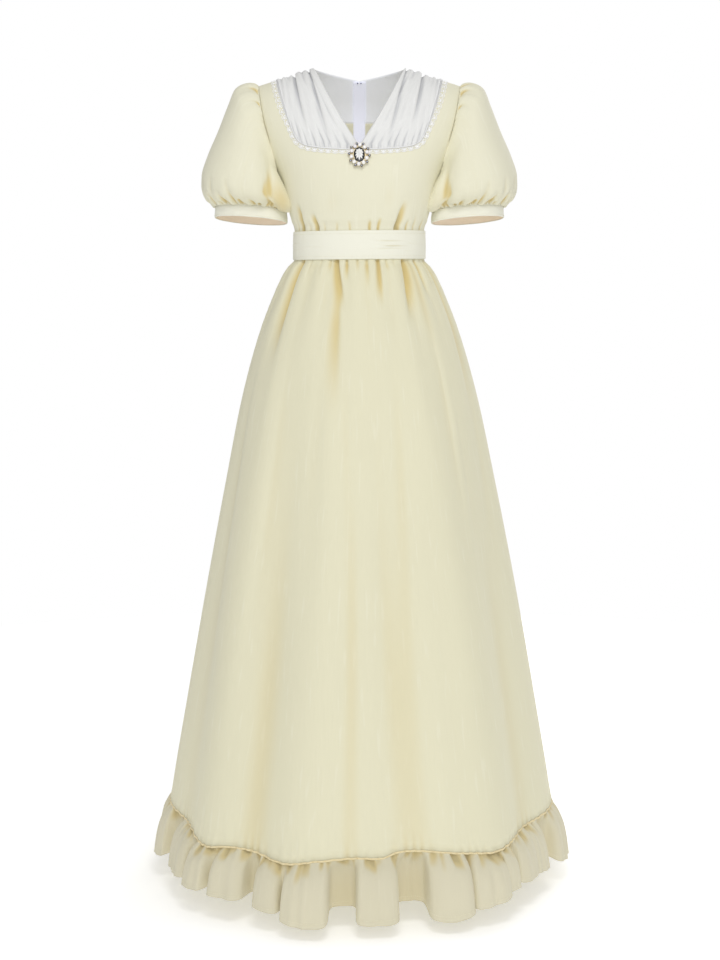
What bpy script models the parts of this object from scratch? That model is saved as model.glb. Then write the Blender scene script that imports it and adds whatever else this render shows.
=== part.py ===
"""A floor-length puff-sleeve gown, hollow as it is worn, with a chiffon yoke and a hem flounce.

Metres, +Z up. The origin is the middle of the neck at the height of the shoulder-neck
points. The front faces -Y, and the wearer's left side lies at +X.
"""

import math
from collections import namedtuple

import bmesh
import bpy
import numpy as np
from mathutils import Matrix, Vector

# Cloth and seams
COTTON = 0.0016
CHIFFON = 0.0011
BAND = 0.0022
LACE = 0.0010
TAPE = 0.0010
SEAM = 0.0005
LAYER = 0.0004

# Heights
ARMPIT_Z = -0.185
SASH_TOP_Z = -0.2915
SASH_FOOT_Z = -0.3435
TUCK_Z = -0.2900
WAIST_Z = -0.3180
FLOUNCE_Z = -1.3430
HEM_Z = -1.4550
FRONT_DROP = 0.008
FLOUNCE_GAP = 0.0012

# Shoulders and neck
NECK_HALF = 0.081
SHOULDER_HALF = 0.182
SHOULDER_SLOPE = 0.307
NECK_ROUND = 0.110
ARM_ROUND = 0.062
RIDGE_SOFTNESS = 0.020
BACK_NECK_DROP = 0.0165
BACK_NECK_POWER = 1.05
ARMHOLE_Z_POWER = 0.9
ARMHOLE_TURN_POWER = 1.6

# Yoke
YOKE_HALF = 0.150
YOKE_FRONT_Z = -0.157
YOKE_FRONT_POWER = 2.6
YOKE_BACK_Z = -0.090
YOKE_BACK_POWER = 4.0
NECK_V_Z = -0.1445
NECK_V_BOW = 0.004
LACE_WIDTH = 0.010
LACE_NOTCH = 0.74
LACE_LIFT = 0.0006

# Grid counts, in edges
YOKE_SIDE_EDGES = 6
YOKE_FOOT_EDGES = 12
STRIP_EDGES = 3
ARMHOLE_TAIL_EDGES = 2
BODICE_ROWS = 4
LACE_ROW_SHARE = 0.10
SLEEVE_SPLIT = 3
SHOULDER_GRADE = 1.35
YOKE_CORNER = (0.45, 0.50)

Section = namedtuple("Section", "z half_width front back centre power")

TORSO = (
    Section(+0.040, 0.206, 0.080, 0.072, 0.004, 2.40),
    Section(-0.030, 0.203, 0.088, 0.080, 0.004, 2.40),
    Section(-0.060, 0.198, 0.092, 0.090, 0.003, 2.40),
    Section(-0.100, 0.189, 0.101, 0.099, 0.002, 2.40),
    Section(-0.140, 0.173, 0.112, 0.101, 0.001, 2.35),
    Section(-0.185, 0.150, 0.120, 0.097, 0.000, 2.30),
    Section(-0.229, 0.1372, 0.114, 0.091, 0.000, 2.25),
    Section(-0.264, 0.1262, 0.104, 0.086, 0.000, 2.20),
    Section(-0.276, 0.1230, 0.101, 0.0846, 0.000, 2.18),
    Section(-0.286, 0.1190, 0.0965, 0.0832, 0.000, 2.15),
    Section(-0.320, 0.1185, 0.0955, 0.0830, 0.000, 2.15),
)

SKIRT = (
    Section(-0.3180, 0.1186, 0.0955, 0.083, 0.000, 2.15),
    Section(-0.3440, 0.1186, 0.0955, 0.083, 0.000, 2.15),
    Section(-0.3560, 0.1300, 0.1070, 0.094, 0.000, 2.10),
    Section(-0.3750, 0.1420, 0.1190, 0.107, 0.000, 2.05),
    Section(-0.4170, 0.1610, 0.1380, 0.128, 0.000, 2.00),
    Section(-0.4720, 0.1820, 0.1600, 0.151, 0.000, 2.00),
    Section(-0.5830, 0.2140, 0.1970, 0.190, 0.000, 2.00),
    Section(-0.7500, 0.2490, 0.2400, 0.235, 0.000, 2.00),
    Section(-0.9190, 0.2815, 0.2820, 0.277, 0.000, 2.02),
    Section(-1.1480, 0.3220, 0.3340, 0.328, 0.000, 2.06),
    Section(-1.3430, 0.3550, 0.3760, 0.368, 0.000, 2.12),
    Section(-1.4000, 0.3620, 0.3830, 0.375, 0.000, 2.12),
    Section(-1.4750, 0.3680, 0.3880, 0.380, 0.000, 2.12),
)

# Sleeve sections: the crest line, the underarm line and the depth either side of y = 0
SleeveSection = namedtuple("SleeveSection", "crest_x crest_z under_x under_z depth")

SLEEVE = (
    SleeveSection(0.1825, -0.0310, 0.1505, -0.1850, 0.060),
    SleeveSection(0.1985, -0.0215, 0.1500, -0.1920, 0.064),
    SleeveSection(0.2225, -0.0355, 0.1478, -0.2000, 0.070),
    SleeveSection(0.2375, -0.0700, 0.1448, -0.2100, 0.077),
    SleeveSection(0.2550, -0.1140, 0.1410, -0.2220, 0.084),
    SleeveSection(0.2740, -0.1570, 0.1376, -0.2340, 0.088),
    SleeveSection(0.2855, -0.1950, 0.1346, -0.2440, 0.086),
    SleeveSection(0.2838, -0.2200, 0.1328, -0.2500, 0.077),
    SleeveSection(0.2750, -0.2375, 0.1320, -0.2545, 0.062),
    SleeveSection(0.2637, -0.2475, 0.1320, -0.2575, 0.0485),
)
SLEEVE_ROWS = (0.0, 1.0, 2.2, 4.0, 5.6, 7.0, 8.1, 9.0)
CUFF_HEIGHT = 0.0190
CUFF_GAP = 0.0008
CUFF_FLARE = 0.0015
CUFF_TILT = 0.12
HEAD_GATHER = 0.0030
CUFF_GATHER = 0.0045
SLEEVE_GATHERS = 12
BODICE_GATHER = 0.0028

# Skirt gathers: angle from centre front in degrees, and depth of the groove under the sash
Gather = namedtuple("Gather", "angle depth")

FRONT_GATHERS = (
    Gather(-76.0, 0.0050),
    Gather(-56.0, 0.0070),
    Gather(-38.0, 0.0040),
    Gather(-22.0, 0.0060),
    Gather(-9.0, 0.0055),
    Gather(5.5, 0.0050),
    Gather(20.0, 0.0050),
    Gather(36.0, 0.0070),
    Gather(55.0, 0.0045),
    Gather(74.0, 0.0060),
)
BACK_GATHERS = (
    Gather(104.0, 0.0055),
    Gather(120.0, 0.0060),
    Gather(134.0, 0.0050),
    Gather(148.0, 0.0060),
    Gather(162.0, 0.0050),
)
GATHER_WIDTH = 5.0
GATHER_STEP = 3.9
GATHER_FADE_Z = -0.600

# Long soft folds of the skirt: angles at the waist and at the hem, width and depth
Fold = namedtuple("Fold", "top_angle hem_angle width depth")

SKIRT_FOLDS = (
    Fold(-76.0, -64.0, 11.0, -0.012),
    Fold(-52.0, -45.0, 11.0, +0.012),
    Fold(-30.0, -31.0, 9.0, -0.013),
    Fold(-12.0, -14.0, 13.0, +0.014),
    Fold(9.0, 13.0, 11.0, -0.013),
    Fold(36.0, 38.0, 11.0, +0.014),
    Fold(66.0, 58.0, 9.0, -0.014),
    Fold(84.0, 80.0, 9.0, +0.006),
    Fold(104.0, 106.0, 10.0, -0.012),
    Fold(122.0, 126.0, 11.0, +0.013),
    Fold(146.0, 148.0, 10.0, -0.013),
    Fold(194.0, 190.0, 11.0, +0.010),
    Fold(214.0, 212.0, 10.0, -0.012),
    Fold(236.0, 234.0, 11.0, +0.013),
    Fold(258.0, 256.0, 10.0, -0.011),
)
FOLD_START_Z = -0.400
FOLD_FULL_Z = -1.100
ZIP_QUIET_ANGLE = 9.0

# Flounce lobes: angle of the crest, how far it stands out, and how much lower it hangs
Lobe = namedtuple("Lobe", "angle depth drop")

LOBES = (
    Lobe(-75.0, 0.019, -0.020),
    Lobe(-54.0, 0.023, -0.024),
    Lobe(-38.0, 0.025, -0.024),
    Lobe(-26.0, 0.022, -0.020),
    Lobe(-13.0, 0.030, +0.007),
    Lobe(+4.5, 0.029, +0.003),
    Lobe(14.5, 0.011, -0.024),
    Lobe(25.0, 0.028, +0.004),
    Lobe(36.0, 0.022, -0.009),
    Lobe(46.0, 0.020, -0.024),
    Lobe(59.0, 0.022, -0.024),
    Lobe(76.0, 0.018, -0.007),
    Lobe(97.0, 0.022, -0.004),
    Lobe(112.0, 0.024, -0.012),
    Lobe(126.0, 0.027, +0.002),
    Lobe(138.0, 0.020, -0.014),
    Lobe(151.0, 0.028, +0.004),
    Lobe(165.0, 0.024, -0.010),
    Lobe(179.0, 0.029, +0.004),
    Lobe(193.0, 0.022, -0.016),
    Lobe(206.0, 0.027, -0.002),
    Lobe(219.0, 0.023, -0.018),
    Lobe(233.0, 0.028, -0.004),
    Lobe(247.0, 0.021, -0.020),
    Lobe(265.0, 0.022, -0.010),
)
TROUGH_RISE = 0.011
LOBE_EDGES = 6
LOBE_BOXINESS = 1.5
LOBE_ROLL = 0.0045
FLOUNCE_GROWTH = ((0.00, 0.04), (0.17, 0.52), (0.50, 0.85), (1.00, 1.00))

# Sash lap at the back
LAP_ANGLE = 12.0
SASH_EDGES = 48
SASH_EASE = 0.0009

# Zip
ZIP_FOOT_Z = -0.560
TAPE_HALF = 0.011
TAPE_GAP = 0.0007
SLIDER_Z = -0.030
SLIDER_WIDTH = 0.0080
SLIDER_LENGTH = 0.0100
SLIDER_THICK = 0.0016
LUG_WIDTH = 0.0012
LUG_RISE = 0.0042
PIN_RADIUS = 0.0006
BARREL_HOLE = 0.0010
BARREL_RADIUS = 0.0018
BARREL_WIDTH = 0.0040
TAB_LENGTH = 0.0200
TAB_WIDTH = 0.0070
TAB_THICK = 0.0012
TAB_REST_TILT = 5.0

# Brooch
BROOCH_Z = -0.1600
PLATE_HALF_WIDTH = 0.0200
PLATE_HALF_HEIGHT = 0.0225
PLATE_THICK = 0.0024
CAMEO_HALF_WIDTH = 0.0100
CAMEO_HALF_HEIGHT = 0.0136
CAMEO_RISE = 0.0032
PEARL_RADIUS = 0.0030
PEARL_ORBIT_X = 0.0140
PEARL_ORBIT_Z = 0.0171
STONE_RADIUS = 0.0018
STONE_ORBIT_X = 0.0172
STONE_ORBIT_Z = 0.0198
STONE_COUNT = 10
PETAL_COUNT = 5
PETAL_HALF_WIDTH = 0.0026
PETAL_HALF_LENGTH = 0.0034
PETAL_RISE = 0.0010
PETAL_ORBIT = 0.0040


def start_clean():
    """Removes the scene's objects and makes the gown's own collection and one for cutters."""
    for item in list(bpy.data.objects):
        bpy.data.objects.remove(item, do_unlink=True)
    collections = []
    for name in ("puff_sleeve_gown", "cutters"):
        collection = bpy.data.collections.new(name)
        bpy.context.scene.collection.children.link(collection)
        collections.append(collection)
    return collections


def make_material(name, colour, roughness, metallic=0.0):
    """A Principled material with its colour, roughness and metallic value."""
    material = bpy.data.materials.new(name)
    material.use_nodes = True
    shader = material.node_tree.nodes["Principled BSDF"]
    shader.inputs["Base Color"].default_value = (*colour, 1.0)
    shader.inputs["Roughness"].default_value = roughness
    shader.inputs["Metallic"].default_value = metallic
    return material


# Curves through the section tables

def hermite(knots, values, where):
    """Smooth curve through values at rising knots, read at each place in where."""
    knots = np.asarray(knots, float)
    values = np.asarray(values, float)
    where = np.clip(np.asarray(where, float), knots[0], knots[-1])
    slopes = np.diff(values) / np.diff(knots)
    tangents = np.empty_like(values)
    tangents[0] = slopes[0]
    tangents[-1] = slopes[-1]
    tangents[1:-1] = (slopes[:-1] + slopes[1:]) / 2
    flat = slopes[:-1] * slopes[1:] <= 0
    tangents[1:-1][flat] = 0.0
    cell = np.clip(np.searchsorted(knots, where, side="right") - 1, 0, len(knots) - 2)
    step = knots[cell + 1] - knots[cell]
    t = (where - knots[cell]) / step
    return (
        values[cell] * (2 * t**3 - 3 * t**2 + 1)
        + tangents[cell] * step * (t**3 - 2 * t**2 + t)
        + values[cell + 1] * (3 * t**2 - 2 * t**3)
        + tangents[cell + 1] * step * (t**3 - t**2)
    )


def section_value(table, column, z):
    """One column of a section table at height z."""
    rows = sorted(table, key=lambda row: row.z)
    return hermite([row.z for row in rows], [getattr(row, column) for row in rows], z)


def smooth_step(start, end, value):
    """0 before start, 1 after end, and an even curve between."""
    t = np.clip((np.asarray(value, float) - start) / (end - start), 0.0, 1.0)
    return t * t * (3 - 2 * t)


def ring_point(table, angle, z, side, rise=1.0):
    """A point of a ring at height z; side is -1 on the front, +1 on the back."""
    half_width = section_value(table, "half_width", z)
    depth = section_value(table, "front" if side < 0 else "back", z)
    centre = section_value(table, "centre", z)
    power = 2.0 / section_value(table, "power", z)
    sine = np.sin(angle)
    cosine = np.abs(np.cos(angle))
    x = half_width * np.sign(sine) * np.abs(sine) ** power
    y = centre + side * (depth * cosine**power * rise + SEAM / 2)
    return np.stack([x, y, np.broadcast_to(z, np.shape(x)) + 0.0 * x], axis=-1)


def ridge_z(x):
    """Height of the shoulder ridge at x."""
    return -SHOULDER_SLOPE * (np.sqrt(np.square(x) + RIDGE_SOFTNESS**2) - NECK_HALF)


def torso_point(angle, z, side):
    """A point of the bodice, rounded over the shoulder ridge."""
    flat = ring_point(TORSO, angle, z, side)
    rounding = NECK_ROUND + (ARM_ROUND - NECK_ROUND) * smooth_step(0.09, 0.19, np.abs(flat[..., 0]))
    drop = np.clip((ridge_z(flat[..., 0]) - z) / rounding, 0.0, 1.0)
    return ring_point(TORSO, angle, z, side, rise=np.sqrt(1.0 - (1.0 - drop) ** 2))


def torso_angle(x, z, side):
    """The ring angle of the bodice point at x and z."""
    half_width = section_value(TORSO, "half_width", z)
    power = section_value(TORSO, "power", z) / 2.0
    ratio = np.clip(np.abs(x) / half_width, 0.0, 1.0) ** power
    angle = np.arcsin(ratio)
    return angle if side < 0 else math.pi - angle


def along(curve, shares, side):
    """The (angle, z) pairs at shares of the length of a torso curve."""
    fine = np.linspace(0.0, 1.0, 401)
    angle, z = curve(fine)
    points = torso_point(angle, z, side)
    lengths = np.concatenate([[0.0], np.cumsum(np.linalg.norm(np.diff(points, axis=0), axis=1))])
    angle, z = curve(np.interp(np.asarray(shares) * lengths[-1], lengths, fine))
    return np.stack([angle, z], axis=-1)


def shoulder_shares(edges):
    """Shares of a length that lie closer together at the shoulder."""
    return np.linspace(0.0, 1.0, edges + 1) ** SHOULDER_GRADE


# Seam lines of the left half, as functions of 0..1

def yoke_seam(side):
    """The yoke seam from the shoulder ridge to the centre line."""
    foot = YOKE_FRONT_Z if side < 0 else YOKE_BACK_Z
    power = 2.0 / (YOKE_FRONT_POWER if side < 0 else YOKE_BACK_POWER)
    top = float(ridge_z(YOKE_HALF))

    def curve(t):
        turn = np.asarray(t) * math.pi / 2
        x = YOKE_HALF * np.clip(np.cos(turn), 0.0, 1.0) ** power
        z = top + (foot - top) * np.sin(turn) ** power
        return torso_angle(x, z, side), z

    return curve


def armhole(side):
    """The armhole from the shoulder point to the armpit."""
    top = float(ridge_z(SHOULDER_HALF))
    start = float(torso_angle(SHOULDER_HALF, top, -1))

    def curve(t):
        turn = np.asarray(t) * math.pi / 2
        z = top + (ARMPIT_Z - top) * np.sin(turn) ** ARMHOLE_Z_POWER
        angle = start + (math.pi / 2 - start) * (1 - np.cos(turn)) ** ARMHOLE_TURN_POWER
        return (angle if side < 0 else math.pi - angle), z

    return curve


def level_line(side, level):
    """A level line from the centre line to the side seam."""

    def curve(t):
        turn = (1 - np.asarray(t)) * math.pi / 2
        angle = math.pi / 2 + side * turn
        return angle, np.full_like(turn, level)

    return curve


def yoke_stations(side):
    """The yoke seam's (angle, z) pairs, from the shoulder by way of its corner to the centre."""
    corner = YOKE_CORNER[0 if side < 0 else 1]
    down = shoulder_shares(YOKE_SIDE_EDGES) * corner
    across = corner + (1 - corner) * np.linspace(0.0, 1.0, YOKE_FOOT_EDGES + 1)
    return along(yoke_seam(side), np.concatenate([down, across[1:]]), side)


def armhole_stations(side):
    """The armhole's (angle, z) pairs, from the shoulder to the armpit."""
    return along(armhole(side), shoulder_shares(YOKE_SIDE_EDGES + ARMHOLE_TAIL_EDGES), side)


def flip_half(points):
    """The mirror image of a half panel, with its columns still running the same way round."""
    return points[:, ::-1] * np.array([-1.0, 1.0, 1.0])


def grid_faces(points, closed=False):
    """The four corner indices of each cell of a grid whose corners all exist."""
    rows, columns = points.shape[:2]
    there = np.isfinite(points[..., 0])
    faces = []
    for row in range(rows - 1):
        for column in range(columns if closed else columns - 1):
            across = (column + 1) % columns
            corners = ((row, column), (row + 1, column), (row + 1, across), (row, across))
            if all(there[corner] for corner in corners):
                faces.append(tuple(r * columns + c for r, c in corners))
    return faces


def grid_normals(points, closed=False):
    """Unit normals of a grid whose rows run down and columns run anticlockwise from above."""
    flat = points.reshape(-1, 3)
    normals = np.zeros_like(flat)
    for face in grid_faces(points, closed):
        a, b, c, d = (flat[index] for index in face)
        normal = np.cross(c - a, d - b)
        for index in face:
            normals[index] += normal
    lengths = np.linalg.norm(normals, axis=-1, keepdims=True)
    return (normals / np.maximum(lengths, 1e-12)).reshape(points.shape)


# Panels as grids of points

def bodice_half(side):
    """The left half of the bodice front or back, its columns running from the centre outward.

    The upper rows exist only in the strip between the yoke and the armhole.
    """
    seam = yoke_stations(side)
    hole = armhole_stations(side)
    strip_rows = []
    for inner, outer in zip(seam[: YOKE_SIDE_EDGES + 1], hole):
        ends = torso_point(np.array([inner[0], outer[0]]), np.array([inner[1], outer[1]]), side)
        lace = LACE_WIDTH / np.linalg.norm(ends[1] - ends[0])
        shares = np.concatenate([[0.0], np.linspace(lace, 1.0, STRIP_EDGES)])
        strip_rows.append(inner + (outer - inner) * shares[:, None])
    strip = np.array(strip_rows)

    top = np.concatenate([seam[YOKE_SIDE_EDGES:][::-1], strip[-1][1:], hole[YOKE_SIDE_EDGES + 1:]])
    even = np.linspace(0.0, 1.0, len(top))
    foot = along(level_line(side, TUCK_Z), even, side)
    waist = along(level_line(side, WAIST_Z), even, side)
    lower = coons(top, foot, straight(top[0], foot[0]), straight(top[-1], foot[-1]))
    lower = np.concatenate([lace_row(lower, side), waist[None]])

    blank = np.full((YOKE_SIDE_EDGES, YOKE_FOOT_EDGES, 2), np.nan)
    spare = np.full((YOKE_SIDE_EDGES, ARMHOLE_TAIL_EDGES, 2), np.nan)
    upper = np.concatenate([blank, strip[:-1], spare], axis=1)
    places = np.concatenate([upper, lower])
    points = torso_point(places[..., 0], places[..., 1], side)
    points = yoke_setback(points)
    return gather_bodice(points, places, side)


def straight(start, end):
    """A column's places from start to end, with room for the lace row near its start."""
    shares = np.concatenate([[0.0], np.linspace(LACE_ROW_SHARE, 1.0, BODICE_ROWS)])
    return start + (end - start) * shares[:, None]


def lace_row(lower, side):
    """Moves the second row to the lace's width from the first."""
    points = torso_point(lower[..., 0], lower[..., 1], side)
    reach = np.linalg.norm(points[2] - points[0], axis=1)
    share = (LACE_WIDTH / reach)[:, None]
    second = lower[0] + (lower[2] - lower[0]) * share
    return np.concatenate([lower[:1], second[None], lower[2:]])


def yoke_setback(points):
    """Draws the edges at the yoke seam and the shoulder back by half a seam."""
    moved = points.copy()
    row, column = YOKE_SIDE_EDGES, YOKE_FOOT_EDGES
    for index in range(row):
        step = points[index, column + 1] - points[index, column]
        moved[index, column] += step / np.linalg.norm(step) * SEAM / 2
    for index in range(column):
        step = points[row + 1, index] - points[row, index]
        moved[row, index] += step / np.linalg.norm(step) * SEAM / 2
    step = points[row + 1, column + 1] - points[row, column]
    moved[row, column] += step / np.linalg.norm(step) * SEAM / 2
    for index in range(column, column + STRIP_EDGES + 1):
        step = points[1, index] - points[0, index]
        moved[0, index] += step / np.linalg.norm(step) * SEAM / 2
    return moved


def gather_bodice(points, places, side):
    """Draws in the cloth in every third column towards the waist, but not beside the zip.

    The back's columns run clockwise, so its normals point inward and the front's outward.
    """
    columns = np.arange(points.shape[1])
    groove = np.where(columns % 3 == 1, 1.0, 0.0)
    groove[-2:] = 0.0
    if side > 0:
        groove[:3] = 0.0
    strength = smooth_step(-0.215, -0.280, places[..., 1])
    depth = BODICE_GATHER * groove * strength
    return points + side * grid_normals(points) * depth[..., None]


def seam_setback(points, axis, low, high):
    """Pulls a grid's first and last lines in by half a seam, so that neighbours stay apart."""
    moved = points.copy()
    lines = np.moveaxis(moved, axis, 0)
    for line, inner, wanted in ((0, 1, low), (-1, -2, high)):
        if wanted:
            step = lines[inner] - lines[line]
            length = np.linalg.norm(step, axis=-1, keepdims=True)
            lines[line] = lines[line] + step / length * SEAM / 2
    return moved


def bodice_front():
    """The whole bodice front, from the right armhole across to the left one."""
    left = bodice_half(-1)
    return np.concatenate([flip_half(left)[:, :-1], left], axis=1)


def bodice_back():
    """The left half of the back, from its side seam to the centre-back edge."""
    half = seam_setback(bodice_half(+1), 1, True, False)
    return half[:, ::-1]


def coons(top, foot, first, last):
    """Fills a four-sided patch from its edges; rows run from top to foot."""
    s = np.linspace(0.0, 1.0, len(top))[None, :, None]
    reach = (first[:, 1] - first[0, 1]) / (first[-1, 1] - first[0, 1])
    t = reach[:, None, None]
    corners = (
        (1 - s) * (1 - t) * top[0]
        + s * (1 - t) * top[-1]
        + (1 - s) * t * foot[0]
        + s * t * foot[-1]
    )
    between_rows = (1 - t) * top[None] + t * foot[None]
    between_columns = (1 - s) * first[:, None] + s * last[:, None]
    return between_rows + between_columns - corners


def to_flat(places, side):
    """The (x, z) pairs of (angle, z) places."""
    points = torso_point(places[:, 0], places[:, 1], side)
    return points[:, [0, 2]]


def resample_flat(path, edges):
    """Cuts an (x, z) path into equal lengths, keeping its ends."""
    lengths = np.concatenate([[0.0], np.cumsum(np.linalg.norm(np.diff(path, axis=0), axis=1))])
    wanted = np.linspace(0.0, lengths[-1], edges + 1)
    return np.stack([np.interp(wanted, lengths, path[:, k]) for k in (0, 1)], axis=-1)


def yoke_patch(edge, top, side):
    """A yoke half from its centre edge and its top edge; the seam gives the other two."""
    seam = to_flat(yoke_stations(side), side)
    outer = seam[: YOKE_SIDE_EDGES + 1]
    foot = seam[YOKE_SIDE_EDGES:][::-1]
    flat = coons(top, foot, edge, outer)
    angle = torso_angle(flat[..., 0], flat[..., 1], side)
    points = torso_point(angle, flat[..., 1], side)
    points[..., 0] = flat[..., 0]
    return points


def yoke_front():
    """The left front yoke, with its pleats running from the shoulder to the seam."""
    run = np.linspace(0.0, 1.0, 60)
    x = NECK_HALF * (1 - run) + NECK_V_BOW * np.sin(math.pi * run) + SEAM
    z = NECK_V_Z * run + float(ridge_z(NECK_HALF)) * (1 - run)
    slope = resample_flat(np.stack([x, z], axis=-1), YOKE_SIDE_EDGES - 1)
    edge = np.concatenate([slope, [[SEAM, YOKE_FRONT_Z]]])
    across = np.linspace(edge[0, 0], YOKE_HALF, YOKE_FOOT_EDGES + 1)
    top = np.stack([across, ridge_z(across)], axis=-1)
    points = yoke_patch(edge, top, -1)
    points = pleat_yoke(points)
    points = seam_setback(points, 0, False, True)
    return seam_setback(points, 1, False, True)


def pleat_yoke(points):
    """Raises four soft pleats that die away at the yoke seam and at both long edges."""
    rows, columns = points.shape[:2]
    t = np.linspace(0.0, 1.0, rows)[:, None]
    s = np.linspace(0.0, 1.0, columns)[None, :]
    wave = 0.5 - 0.5 * np.cos(2 * math.pi * 4 * s)
    edge_fade = smooth_step(0.0, 0.12, s) * smooth_step(1.0, 0.88, s)
    foot_fade = smooth_step(1.0, 0.72, t)
    depth = 0.0030 * wave * edge_fade * foot_fade
    return points + grid_normals(points) * depth[..., None]


def yoke_back():
    """The left back yoke, plain, from the yoke seam to the centre-back edge."""
    neck_x = np.linspace(SEAM / 2, NECK_HALF + SEAM, 30)
    reach = neck_x / neck_x[-1]
    lift = reach**BACK_NECK_POWER
    neck_z = -BACK_NECK_DROP * (1 - lift) + float(ridge_z(NECK_HALF)) * lift
    ridge_x = np.linspace(NECK_HALF + SEAM, YOKE_HALF, 30)[1:]
    path = np.concatenate([np.stack([neck_x, neck_z], -1), np.stack([ridge_x, ridge_z(ridge_x)], -1)])
    top = resample_flat(path, YOKE_FOOT_EDGES)
    edge_z = np.linspace(-BACK_NECK_DROP, YOKE_BACK_Z, YOKE_SIDE_EDGES + 1)
    edge = np.stack([np.full_like(edge_z, SEAM / 2), edge_z], axis=-1)
    points = yoke_patch(edge, top, +1)
    points = seam_setback(points, 0, False, True)
    points = seam_setback(points, 1, False, True)
    return points[:, ::-1]


def sleeve_value(column, row):
    """One column of the sleeve table at a fractional row."""
    return hermite(range(len(SLEEVE)), [getattr(section, column) for section in SLEEVE], row)


def armhole_ring():
    """The whole left armhole from the armpit up the front, over the shoulder and down the back."""
    front = armhole_stations(-1)[::-1]
    back = armhole_stations(+1)
    front_points = torso_point(front[:, 0], front[:, 1], -1)
    back_points = torso_point(back[:, 0], back[:, 1], +1)
    front_points[-1] = (front_points[-1] + back_points[0]) / 2
    back_points[-1] = (front_points[0] + back_points[-1]) / 2
    corners = np.concatenate([front_points[1:], back_points[1:]])
    corners = np.roll(corners, 1, axis=0)
    ring = []
    for index in range(len(corners)):
        start = corners[index]
        end = corners[(index + 1) % len(corners)]
        for cut in range(SLEEVE_SPLIT):
            ring.append(start + (end - start) * cut / SLEEVE_SPLIT)
    return np.array(ring) + np.array([SEAM, 0.0, 0.0])


def sleeve_ring(row, turn):
    """An oval ring of the sleeve; turn 0 is the underarm and pi the crest, by way of the front."""
    crest = np.array([float(sleeve_value("crest_x", row)), 0.0, float(sleeve_value("crest_z", row))])
    under = np.array([float(sleeve_value("under_x", row)), 0.0, float(sleeve_value("under_z", row))])
    depth = float(sleeve_value("depth", row))
    centre = (crest + under) / 2
    half = (crest - under) / 2
    y = -depth * np.sin(turn)
    tilt = CUFF_TILT * (row / (len(SLEEVE) - 1)) ** 2
    ring = centre - half * np.cos(turn)[:, None]
    ring[:, 1] = y
    ring[:, 2] += -y * tilt
    return ring


def ring_turns(ring):
    """Each armhole column's turn, from its share of the armhole's length."""
    steps = np.linalg.norm(np.roll(ring, -1, axis=0) - ring, axis=1)
    lengths = np.concatenate([[0.0], np.cumsum(steps)])[:-1]
    return lengths / steps.sum() * 2 * math.pi


def sleeve():
    """The left puff sleeve, from the armhole to the top of its band."""
    hole = armhole_ring()
    turn = ring_turns(hole)
    rows = []
    for row in SLEEVE_ROWS:
        shaped = float(smooth_step(0.0, 2.2, row))
        head = HEAD_GATHER * float(smooth_step(0.0, 1.0, row) * smooth_step(3.0, 1.2, row))
        cuff = CUFF_GATHER * float(smooth_step(6.4, 8.1, row) * (1 - 0.8 * smooth_step(8.1, 9.0, row)))
        ring = sleeve_ring(row, turn)
        centre = ring.mean(axis=0)
        outward = ring - centre
        outward /= np.linalg.norm(outward, axis=1, keepdims=True)
        wave = np.cos(turn * SLEEVE_GATHERS)
        upper = np.clip(-np.cos(turn), 0.0, 1.0)
        away = smooth_step(0.0, 0.6, 1 - np.cos(turn))
        ring = ring + outward * (wave * (head * upper + cuff * away))[:, None]
        rows.append(hole * (1 - shaped) + ring * shaped)
    return np.array(rows), turn


def cuff(turn):
    """The left sleeve band, a short ring under the sleeve."""
    last = float(len(SLEEVE) - 1)
    top = sleeve_ring(last, turn)
    top[:, 2] -= CUFF_GAP
    centre = top.mean(axis=0)
    outward = top - centre
    outward[:, 2] = 0.0
    outward /= np.linalg.norm(outward, axis=1, keepdims=True)
    foot = top + outward * CUFF_FLARE
    foot[:, 2] -= CUFF_HEIGHT
    return np.array([top, foot])


def skirt_columns(gathers, start, end):
    """Column angles in degrees, with one on every gather."""
    stops = [start] + [gather.angle for gather in gathers] + [end]
    columns = [start]
    for low, high in zip(stops, stops[1:]):
        edges = max(2, round((high - low) / GATHER_STEP))
        columns += [low + (high - low) * (k + 1) / edges for k in range(edges)]
    return np.array(columns)


def angle_gap(angle, centre):
    """The signed gap between two angles in degrees, wrapped to +-180."""
    return (angle - centre + 180.0) % 360.0 - 180.0


def all_gathers():
    """The gathers all round, the right back half mirroring the left with a small shift."""
    mirrored = [Gather(360.0 - gather.angle, gather.depth) for gather in BACK_GATHERS]
    return list(FRONT_GATHERS) + list(BACK_GATHERS) + mirrored


def skirt_relief(angle, z):
    """How far the skirt's gathers and folds stand out at an angle in degrees."""
    relief = np.zeros(np.broadcast(angle, z).shape)
    under_sash = smooth_step(SASH_FOOT_Z, SASH_FOOT_Z - 0.014, z)
    fade = under_sash * (1 - smooth_step(SASH_FOOT_Z - 0.02, GATHER_FADE_Z, z)) ** 1.5
    for gather in all_gathers():
        bump = np.exp(-((angle_gap(angle, gather.angle) / GATHER_WIDTH) ** 2))
        relief -= gather.depth * bump * fade
    share = np.clip((z - FOLD_START_Z) / (FLOUNCE_Z - FOLD_START_Z), 0.0, 1.0)
    grow = smooth_step(FOLD_START_Z, FOLD_FULL_Z, z)
    for fold in SKIRT_FOLDS:
        centre = fold.top_angle + (fold.hem_angle - fold.top_angle) * share
        bump = np.exp(-((angle_gap(angle, centre) / fold.width) ** 2))
        relief += fold.depth * bump * grow
    quiet = smooth_step(ZIP_QUIET_ANGLE / 2, ZIP_QUIET_ANGLE * 2, np.abs(angle_gap(angle, 180.0)))
    zipped = smooth_step(ZIP_FOOT_Z - 0.15, ZIP_FOOT_Z, z)
    return relief * (1 - zipped * (1 - quiet))


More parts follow.
